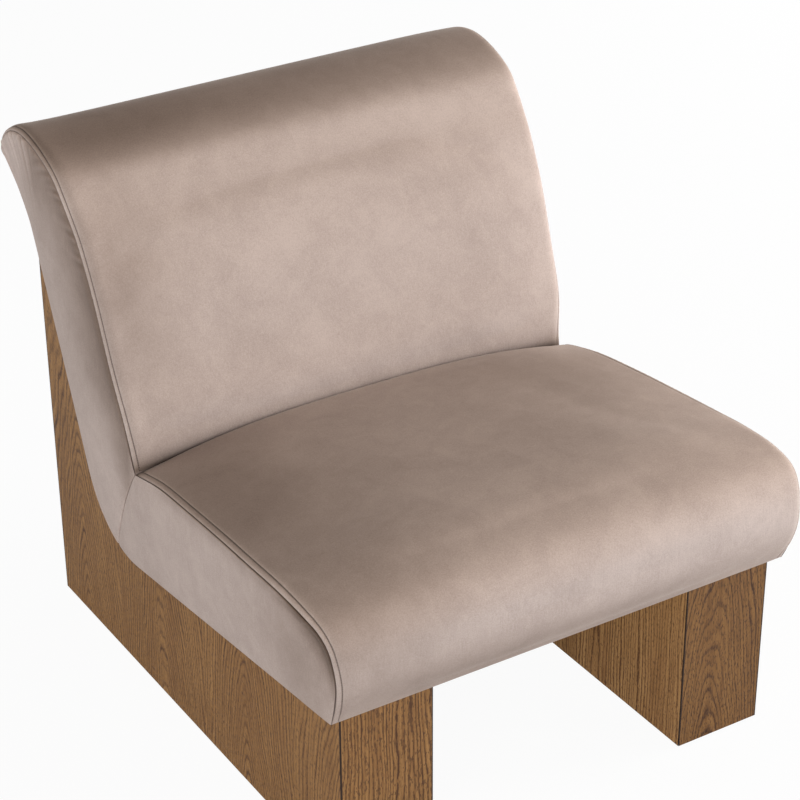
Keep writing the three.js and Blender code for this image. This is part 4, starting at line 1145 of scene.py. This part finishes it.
@dataclass
class Upholstery:
    """The seat and the back, sewn over their frame."""

    half_width: float = 0.367
    seat_reach: float = 0.5475
    seat_edge: float = 0.1507
    seat_crown: float = 0.038
    seat_flare: float = 0.0165
    back_thickness: float = 0.1945
    back_reach: float = 0.362
    back_rise: float = 0.4186
    back_crown: float = 0.018
    back_flare: float = 0.0185
    crease_height: float = 0.381
    crease_rise: float = 0.037
    split_run: float = 0.090
    foot_height: float = 0.575
    rest_gap: float = 0.4 * MM

    def __post_init__(self) -> None:
        """Works out the cradle and the crease from the legs."""
        self.cradle = Cradle(LEG_FACE, 0.271)
        front = self.cradle.rear_at(0) + self.back_thickness * self.cradle.forwards
        up = (self.crease_height - front[2]) / self.cradle.upwards[2]
        self.crease = front + up * self.cradle.upwards

    def seat_seam(self) -> np.ndarray:
        """The seat cover's side seam, from the front lower edge to the crease."""
        low = self.cradle.height(self.crease[1] - 0.961 * self.seat_reach) + self.rest_gap
        rows = SeamRows(np.array([0, self.crease[1], 0.271 + 2.3 * MM]), self.seat_reach, self.seat_edge,
                        self.seat_crown, self.seat_flare, self.half_width, SEAT_SHARES).seam()
        rows[0, 2] = low
        return smooth_line(rows)

    def back_seam(self) -> np.ndarray:
        """The back cover's side seam, from the crease over the roll to the seam under it."""
        rows = SeamRows(self.crease, self.back_reach, self.back_rise, self.back_crown, self.back_flare,
                        self.half_width, BACK_SHARES).seam()
        rows[0, 0] = self.seat_seam()[-1, 0]
        return smooth_line(rows)

    def rest_line(self) -> np.ndarray:
        """The line on which the upholstery rests, from the front edge to the seam under the roll."""
        start = self.seat_seam()[0, :3]
        lift = self.foot_height - self.cradle.corner()[2]
        foot = self.cradle.rear_at(lift / self.cradle.upwards[2])
        under = [[self.half_width + flare * self.back_flare, self.crease[1] + reach * self.back_reach,
                  self.crease[2] + rise * self.back_rise] for reach, rise, flare in ROLL_UNDERSIDE_SHARES[::-1]]
        foot[0] = self.half_width
        arc = self.cradle.arc()
        arc[:, 0] = self.half_width
        upper = smooth_line(np.array([foot, *under, self.back_seam()[-1, :3]]))
        straight = np.linspace(arc[-1], foot, 20)[1:-1]
        return np.vstack([start, arc, straight, upper])

    def split(self) -> tuple:
        """The seam between the two side panels, and the rest line before and beyond its foot.

        Returns:
            The split from the crease down, the line before it and the line beyond it.
        """
        rest = self.rest_line()
        depth = self.crease[1] + self.split_run
        beyond = int(np.argmax(rest[:, 1] > depth))
        share = (depth - rest[beyond - 1, 1]) / (rest[beyond, 1] - rest[beyond - 1, 1])
        foot = rest[beyond - 1] + share * (rest[beyond] - rest[beyond - 1])
        top = np.array([self.seat_seam()[-1, 0], self.crease[1], self.crease[2]])
        bend = top + (foot - top) * np.array([0.3, 0.61, 0.46])
        steps = np.linspace(0, 1, 24)[:, None]
        line = (1 - steps) ** 2 * top + 2 * steps * (1 - steps) * bend + steps ** 2 * foot
        return line, np.vstack([rest[:beyond], foot]), np.vstack([foot, rest[beyond:]])

    def build(self, velvet: bpy.types.Material, thread: bpy.types.Material) -> list:
        """Sews the seat and the back and adds their topstitching.

        Args:
            velvet: the covers' material.
            thread: the stitches' material.

        Returns:
            The finished pieces.
        """
        line, before, beyond = self.split()
        seat = SewnForm("seat_upholstery", self.seat_seam(), np.vstack([before, line[::-1][1:]]), Sewing())
        seat.end_valley = 8 * MM
        seat.reliefs = self.seat_folds()
        seat.painted_shading = self.seat_painted_shading()
        back = SewnForm("back_upholstery", self.back_seam(), np.vstack([line, beyond[1:]]), Sewing())
        back.start_valley = 13 * MM
        back.valley_reach = 13 * MM
        back.reliefs = self.back_folds()
        back.painted_shading = self.back_painted_shading()
        back.lean = 7 * MM
        back.right_draw = 17 * MM
        pieces = []
        for form, nodes in (
            (seat, ["seat_cover", "seat_foam", "seat_side_panel_left", "seat_side_panel_right",
                    "seat_side_pad_left", "seat_side_pad_right"]),
            (back, ["back_cover", "back_foam", "back_side_panel_left", "back_side_panel_right",
                    "back_side_pad_left", "back_side_pad_right", "outside_back_cover"]),
        ):
            body = form.build()
            body.data.materials.append(velvet)
            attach(body, ROOT)
            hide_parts(*nodes)
            pieces.append(body)
            pieces.append(self.topstitch(body, thread))
        return pieces

    def seat_folds(self) -> list:
        """The small folds of the seat: puckers along its stitching and a hollow behind each front corner."""
        length = lengths_along(self.seat_seam())[-1]
        return [
            Gathers(0.02, length - 0.02, 0.2 * MM, 9 * MM, 11 * MM, 0.3, on_cover=True),
            Dimple(0.178, -0.008, 3 * MM, 8 * MM, 0.8 * MM, -0.6),
            Dimple(0.142, -0.021, 30 * MM, 15 * MM, -3.0 * MM),
        ]

    def back_folds(self) -> list:
        """The small folds of the back: fans round the ends of its roll and slanting puckers below them."""
        length = lengths_along(self.back_seam())[-1]
        return [
            Gathers(0.03, length - 0.02, 0.2 * MM, 9 * MM, 11 * MM, 0.3, on_cover=True),
            Gathers(length - 0.17, length - 0.02, 2.3 * MM, 56 * MM, 18 * MM, 0.35),
            Gathers(length - 0.36, length - 0.15, 1.0 * MM, 34 * MM, 19 * MM, -1.2),
        ]

    def seat_painted_shading(self) -> list:
        """Painted light and shade on the seat, with painted shade where its cover tucks into the crease."""
        length = lengths_along(self.seat_seam())[-1]
        return [
            PaintedTuckShade(length - 0.004, -0.75, 6 * MM),
            PaintedShadingPatch((-0.33, -0.05, 0.43), (0.14, 0.26, 0.07), -0.31, on_panel=False),
            PaintedShadingPatch((-0.32, -0.40, 0.44), (0.11, 0.10, 0.07), -0.06, on_panel=False),
            PaintedShadingPatch((0.0, -0.22, 0.46), (0.45, 0.24, 0.08), -0.08, on_panel=False),
            PaintedShadingPatch((0.28, -0.02, 0.44), (0.20, 0.16, 0.09), -0.27, on_panel=False),
            PaintedShadingPatch((0.28, -0.44, 0.40), (0.24, 0.11, 0.07), 0.10, on_panel=False),
            PaintedShadingPatch((-0.32, -0.45, 0.37), (0.12, 0.09, 0.07), -0.14, on_panel=False),
            PaintedShadingPatch((-0.10, -0.45, 0.29), (0.50, 0.09, 0.05), -0.32, on_panel=False),
            PaintedShadingPatch((-0.37, -0.37, 0.34), (0.08, 0.09, 0.11), -0.26, on_cover=False),
            PaintedShadingPatch((0.37, -0.37, 0.34), (0.08, 0.09, 0.11), -0.26, on_cover=False),
            PaintedPanelShade(0.05, 0.62, -0.2, 24 * MM),
            PaintedPanelShade(0.04, 0.25, -0.3, 13 * MM),
            PaintedPanelShade(0.0, 0.70, -0.06, 400 * MM, 10 * MM),
        ]

    def back_painted_shading(self) -> list:
        """Painted light and shade on the back, with painted shade where its cover tucks into the crease."""
        return [
            PaintedTuckShade(0.006, -0.7, 13 * MM),
            PaintedShadingPatch((-0.30, 0.0, 0.43), (0.18, 0.05, 0.035), -0.22, on_panel=False),
            PaintedShadingPatch((-0.32, 0.32, 0.80), (0.26, 0.10, 0.05), -0.29, on_panel=False),
            PaintedShadingPatch((0.10, 0.34, 0.80), (0.60, 0.08, 0.04), -0.26, on_panel=False),
            PaintedShadingPatch((-0.33, 0.18, 0.61), (0.07, 0.10, 0.20), -0.2, on_panel=False),
            PaintedShadingPatch((0.34, 0.15, 0.56), (0.10, 0.14, 0.24), 0.04, on_panel=False),
            PaintedShadingPatch((0.0, 0.26, 0.75), (0.50, 0.03, 0.03), 0.13, on_panel=False),
            PaintedShadingPatch((-0.38, 0.24, 0.52), (0.3, 0.10, 0.12), -0.12, on_cover=False),
            PaintedPanelShade(-0.03, 0.56, -0.42, 115 * MM, 70 * MM),
            PaintedPanelShade(0.02, 0.50, -0.12, 26 * MM, 90 * MM),
        ]

    def topstitch(self, body: bpy.types.Object, thread: bpy.types.Material) -> bpy.types.Object:
        """Sews a row of stitches beside both seams of a cover.

        Args:
            body: the sewn form.
            thread: the stitches' material.

        Returns:
            The stitches as one piece.
        """
        mesh = body.data
        points = coordinates(mesh)
        normals = vertex_normals(mesh)
        stitch = attribute(mesh, "stitch")
        place = attribute(mesh, "place")
        curve = bpy.data.curves.new(body.name + "_path", "CURVE")
        curve.dimensions = "3D"
        for side, low, high in (("right", 0.999, 1.001), ("left", 1.999, 2.001)):
            chosen = np.flatnonzero((stitch > low) & (stitch < high))
            chosen = chosen[np.sign(points[chosen, 0]) == SIDES[side]]
            chosen = chosen[np.argsort(place[chosen])]
            chosen = chosen[(place[chosen] > 0.01) & (place[chosen] < 0.99)]
            line = points[chosen] + 0.25 * MM * normals[chosen]
            spline = curve.splines.new("POLY")
            spline.points.add(len(line) - 1)
            spline.points.foreach_set("co", np.hstack([line, np.ones((len(line), 1))]).reshape(-1))
        path = bpy.data.objects.new(body.name + "_path", curve)
        bpy.context.scene.collection.objects.link(path)
        name = body.name.replace("upholstery", "topstitch")
        piece = StitchRow().sew(path, name, thread)
        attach(piece, ROOT)
        return piece


@dataclass
class StitchRow:
    """Stitches along a path, made by a node tree."""

    pitch: float = 3.6 * MM
    length: float = 2.9 * MM
    thickness: float = 0.75 * MM

    def tree(self) -> bpy.types.NodeTree:
        """The node tree: a rounded stitch at each step of the path, turned along it."""
        tree = bpy.data.node_groups.new("stitch_row", "GeometryNodeTree")
        face = tree.interface
        face.new_socket("Path", in_out="INPUT", socket_type="NodeSocketGeometry")
        for name in ("Pitch", "Length", "Thickness"):
            face.new_socket(name, in_out="INPUT", socket_type="NodeSocketFloat")
        face.new_socket("Thread", in_out="INPUT", socket_type="NodeSocketMaterial")
        face.new_socket("Stitches", in_out="OUTPUT", socket_type="NodeSocketGeometry")
        nodes, links = tree.nodes, tree.links
        given = nodes.new("NodeGroupInput")
        result = nodes.new("NodeGroupOutput")
        steps = nodes.new("GeometryNodeResampleCurve")
        steps.mode = "LENGTH"
        ball = nodes.new("GeometryNodeMeshUVSphere")
        ball.inputs["Segments"].default_value = 6
        ball.inputs["Rings"].default_value = 4
        ball.inputs["Radius"].default_value = 0.5
        scale = nodes.new("ShaderNodeCombineXYZ")
        tangent = nodes.new("GeometryNodeInputTangent")
        turn = nodes.new("FunctionNodeAlignRotationToVector")
        turn.axis = "X"
        rows = nodes.new("GeometryNodeInstanceOnPoints")
        real = nodes.new("GeometryNodeRealizeInstances")
        paint = nodes.new("GeometryNodeSetMaterial")
        links.new(given.outputs["Path"], steps.inputs["Curve"])
        links.new(given.outputs["Pitch"], steps.inputs["Length"])
        links.new(given.outputs["Length"], scale.inputs["X"])
        links.new(given.outputs["Thickness"], scale.inputs["Y"])
        links.new(given.outputs["Thickness"], scale.inputs["Z"])
        links.new(tangent.outputs[0], turn.inputs["Vector"])
        links.new(steps.outputs[0], rows.inputs["Points"])
        links.new(ball.outputs["Mesh"], rows.inputs["Instance"])
        links.new(turn.outputs[0], rows.inputs["Rotation"])
        links.new(scale.outputs[0], rows.inputs["Scale"])
        links.new(rows.outputs[0], real.inputs[0])
        links.new(real.outputs[0], paint.inputs["Geometry"])
        links.new(given.outputs["Thread"], paint.inputs["Material"])
        links.new(paint.outputs[0], result.inputs[0])
        return tree

    def sew(self, path: bpy.types.Object, name: str, thread: bpy.types.Material) -> bpy.types.Object:
        """Makes the stitches along a path a plain mesh.

        Args:
            path: the curve that they follow, which is then removed.
            name: the piece's name.
            thread: their material.

        Returns:
            The stitches' object.
        """
        tree = self.tree()
        modifier = path.modifiers.new("stitches", "NODES")
        modifier.node_group = tree
        sizes = {"Pitch": self.pitch, "Length": self.length, "Thickness": self.thickness, "Thread": thread}
        for item in tree.interface.items_tree:
            if item.in_out == "INPUT" and item.name in sizes:
                modifier[item.identifier] = sizes[item.name]
        graph = bpy.context.evaluated_depsgraph_get()
        graph.update()
        mesh = bpy.data.meshes.new_from_object(path.evaluated_get(graph), depsgraph=graph)
        piece = bpy.data.objects.new(name, mesh)
        bpy.context.scene.collection.objects.link(piece)
        bpy.data.objects.remove(path)
        mesh.materials.clear()
        mesh.materials.append(thread)
        shade_smooth(mesh)
        return piece


@dataclass
class Legs:
    """The two box legs: eight mitred panels in oak veneer.

    Each panel's veneer has its arches in a leaf's middle, some way from the panel's front or left edge, and a rise
    that is small where the veneer was cut with straight grain.
    """

    panels: tuple = ("outer", "front", "inner", "rear")
    middles: tuple = (0.25, 0.10, 0.46, 0.07)
    rises: tuple = (0.33, 0.03, 0.03, 0.24)
    rings: tuple = (9.0 * MM, 5.5 * MM, 6.5 * MM, 7.0 * MM)
    # Painted light and shade: each kind of panel's tone, for how light falls on its face, lighter on the inner panels
    # and darker on the fronts.
    tones: tuple = (0.92, 0.84, 1.32, 0.92)

    def dress(self) -> None:
        """Gives each panel its own cut of veneer."""
        for side in SIDES:
            for number, panel in enumerate(self.panels):
                node = frame["nodes"][f"leg_{side}_{panel}_panel"]
                shift = 0.37 * number + (1.31 if side == "right" else 0.0)
                low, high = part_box(f"leg_{side}_{panel}_panel")
                axis = "X" if panel in ("front", "rear") else "Y"
                reach = (low.x, high.x) if axis == "X" else (low.y, high.y)
                middle, rise, ring = self.middles[number], self.rises[number], self.rings[number]
                tone = self.tones[number]
                # The right front panel has its own cut of veneer and a darker tone.
                if (side, panel) == ("right", "front"):
                    middle, rise, ring, tone = 0.055, 0.24, 7.0 * MM, 0.6
                oak = Oak(f"oak_{side}_{panel}", shift, axis, *reach, reach[0] + middle, rise=rise, ring=ring, tone=tone)
                paint(node, oak.material())


def paint(piece: bpy.types.Object, material: bpy.types.Material) -> None:
    """Puts one material on a piece, in every slot that it has."""
    if not piece.material_slots:
        piece.data.materials.append(material)
    for slot in piece.material_slots:
        slot.material = material


def dress_hidden_nodes() -> None:
    """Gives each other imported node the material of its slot."""
    made = {}
    for row in frame["record"]["subparts"]:
        slot = row["material_slot"]
        if slot in HIDDEN:
            made.setdefault(slot, HIDDEN[slot].material())
            paint(frame["nodes"][row["node"]], made[slot])


@dataclass
class Studio:
    """A pale floor, soft lamps and the photograph's camera."""

    azimuth: float = math.radians(-31.87)
    elevation: float = math.radians(28.45)
    roll: float = math.radians(-0.382)
    focal_share: float = 2337.8 / 800
    sensor: float = 36.0
    place: tuple = (-1.5558, -2.0898, 2.0362)

    def camera(self) -> None:
        """Puts the camera where the photograph was taken from."""
        back = Vector((math.sin(self.azimuth) * math.cos(self.elevation),
                       -math.cos(self.azimuth) * math.cos(self.elevation), math.sin(self.elevation)))
        right = Vector((0, 0, 1)).cross(back).normalized()
        up = back.cross(right)
        c, s = math.cos(self.roll), math.sin(self.roll)
        turn = Matrix((c * right + s * up, -s * right + c * up, back)).transposed().to_4x4()
        data = bpy.data.cameras.new("camera")
        data.sensor_width = self.sensor
        data.sensor_fit = "HORIZONTAL"
        data.lens = self.focal_share * self.sensor
        data.clip_end = 50
        camera = bpy.data.objects.new("camera", data)
        camera.matrix_world = Matrix.Translation(Vector(self.place) + Vector((0, LEG_FACE, 0))) @ turn
        bpy.context.scene.collection.objects.link(camera)
        bpy.context.scene.camera = camera

    def lamp(self, name: str, place: tuple, size: float, power: float) -> None:
        """Hangs a soft square lamp that points at the chair."""
        data = bpy.data.lights.new(name, "AREA")
        data.size = size
        data.energy = power
        lamp = bpy.data.objects.new(name, data)
        lamp.location = place
        lamp.rotation_euler = (Vector((0, 0, 0.4)) - Vector(place)).to_track_quat("-Z", "Y").to_euler()
        bpy.context.scene.collection.objects.link(lamp)

    def lamps(self) -> None:
        """Hangs the lamps."""
        self.lamp("front_left", (-3.2, -3.2, 1.2), 2.2, 134)
        self.lamp("front_right", (3.0, -3.2, 1.6), 2.2, 50)
        self.lamp("right", (4.2, -1.0, 1.2), 2.2, 232)
        self.lamp("rear_left", (-3.6, 2.4, 1.3), 2.2, 50)
        self.lamp("rear_right", (3.6, 2.4, 1.3), 2.2, 40)

    def world(self) -> None:
        """Fills the room with even light and shows it white."""
        world = bpy.data.worlds.new("room")
        world.use_nodes = True
        tree = world.node_tree
        path = tree.nodes.new("ShaderNodeLightPath")
        seen = tree.nodes.new("ShaderNodeBackground")
        seen.inputs["Strength"].default_value = 1.0
        seen.inputs["Color"].default_value = (1, 1, 1, 1)
        room = tree.nodes["Background"]
        room.inputs["Color"].default_value = (1, 1, 1, 1)
        room.inputs["Strength"].default_value = 0.18
        mixed = tree.nodes.new("ShaderNodeMixShader")
        tree.links.new(path.outputs["Is Camera Ray"], mixed.inputs[0])
        tree.links.new(room.outputs[0], mixed.inputs[1])
        tree.links.new(seen.outputs[0], mixed.inputs[2])
        tree.links.new(mixed.outputs[0], tree.nodes["World Output"].inputs["Surface"])
        bpy.context.scene.world = world

    def floor(self) -> None:
        """Lays a pale floor that keeps the chair's shadow."""
        mesh = bpy.data.meshes.new("floor")
        reach = 12.0
        mesh.from_pydata([(-reach, -reach, 0), (reach, -reach, 0), (reach, reach, 0), (-reach, reach, 0)], [],
                         [(0, 1, 2, 3)])
        floor = bpy.data.objects.new("floor", mesh)
        bpy.context.scene.collection.objects.link(floor)
        shader = Shader("floor")
        shader.surface.inputs["Base Color"].default_value = (0.8, 0.8, 0.8, 1)
        shader.surface.inputs["Roughness"].default_value = 0.9
        glow = shader.add("ShaderNodeEmission")
        path = shader.add("ShaderNodeLightPath")
        mixed = shader.add("ShaderNodeMixShader")
        seen = shader.math("MULTIPLY", path.outputs["Is Camera Ray"], 0.95)
        shader.links.new(seen, mixed.inputs[0])
        shader.links.new(shader.surface.outputs[0], mixed.inputs[1])
        shader.links.new(glow.outputs[0], mixed.inputs[2])
        shader.links.new(mixed.outputs[0], shader.nodes["Material Output"].inputs["Surface"])
        mesh.materials.append(shader.material)

    def build(self) -> None:
        """Sets up the camera, the lamps, the room and the floor."""
        self.camera()
        self.lamps()
        self.world()
        self.floor()
        bpy.context.scene.view_settings.view_transform = "Standard"


def main() -> None:
    """Builds the chair's looks in order and reports each piece."""
    logging.basicConfig(level=logging.INFO, format="%(message)s")
    Studio().build()
    velvet = Velvet().material()
    thread = Plain("thread", linear(132, 116, 106), linear(112, 97, 88), (900, 900, 900), 0.7).material()
    for piece in Upholstery().build(velvet, thread):
        log.info("%s: %d faces", piece.name, len(piece.data.polygons))
    Legs().dress()
    dress_hidden_nodes()


if __name__ == "__main__":
    main()
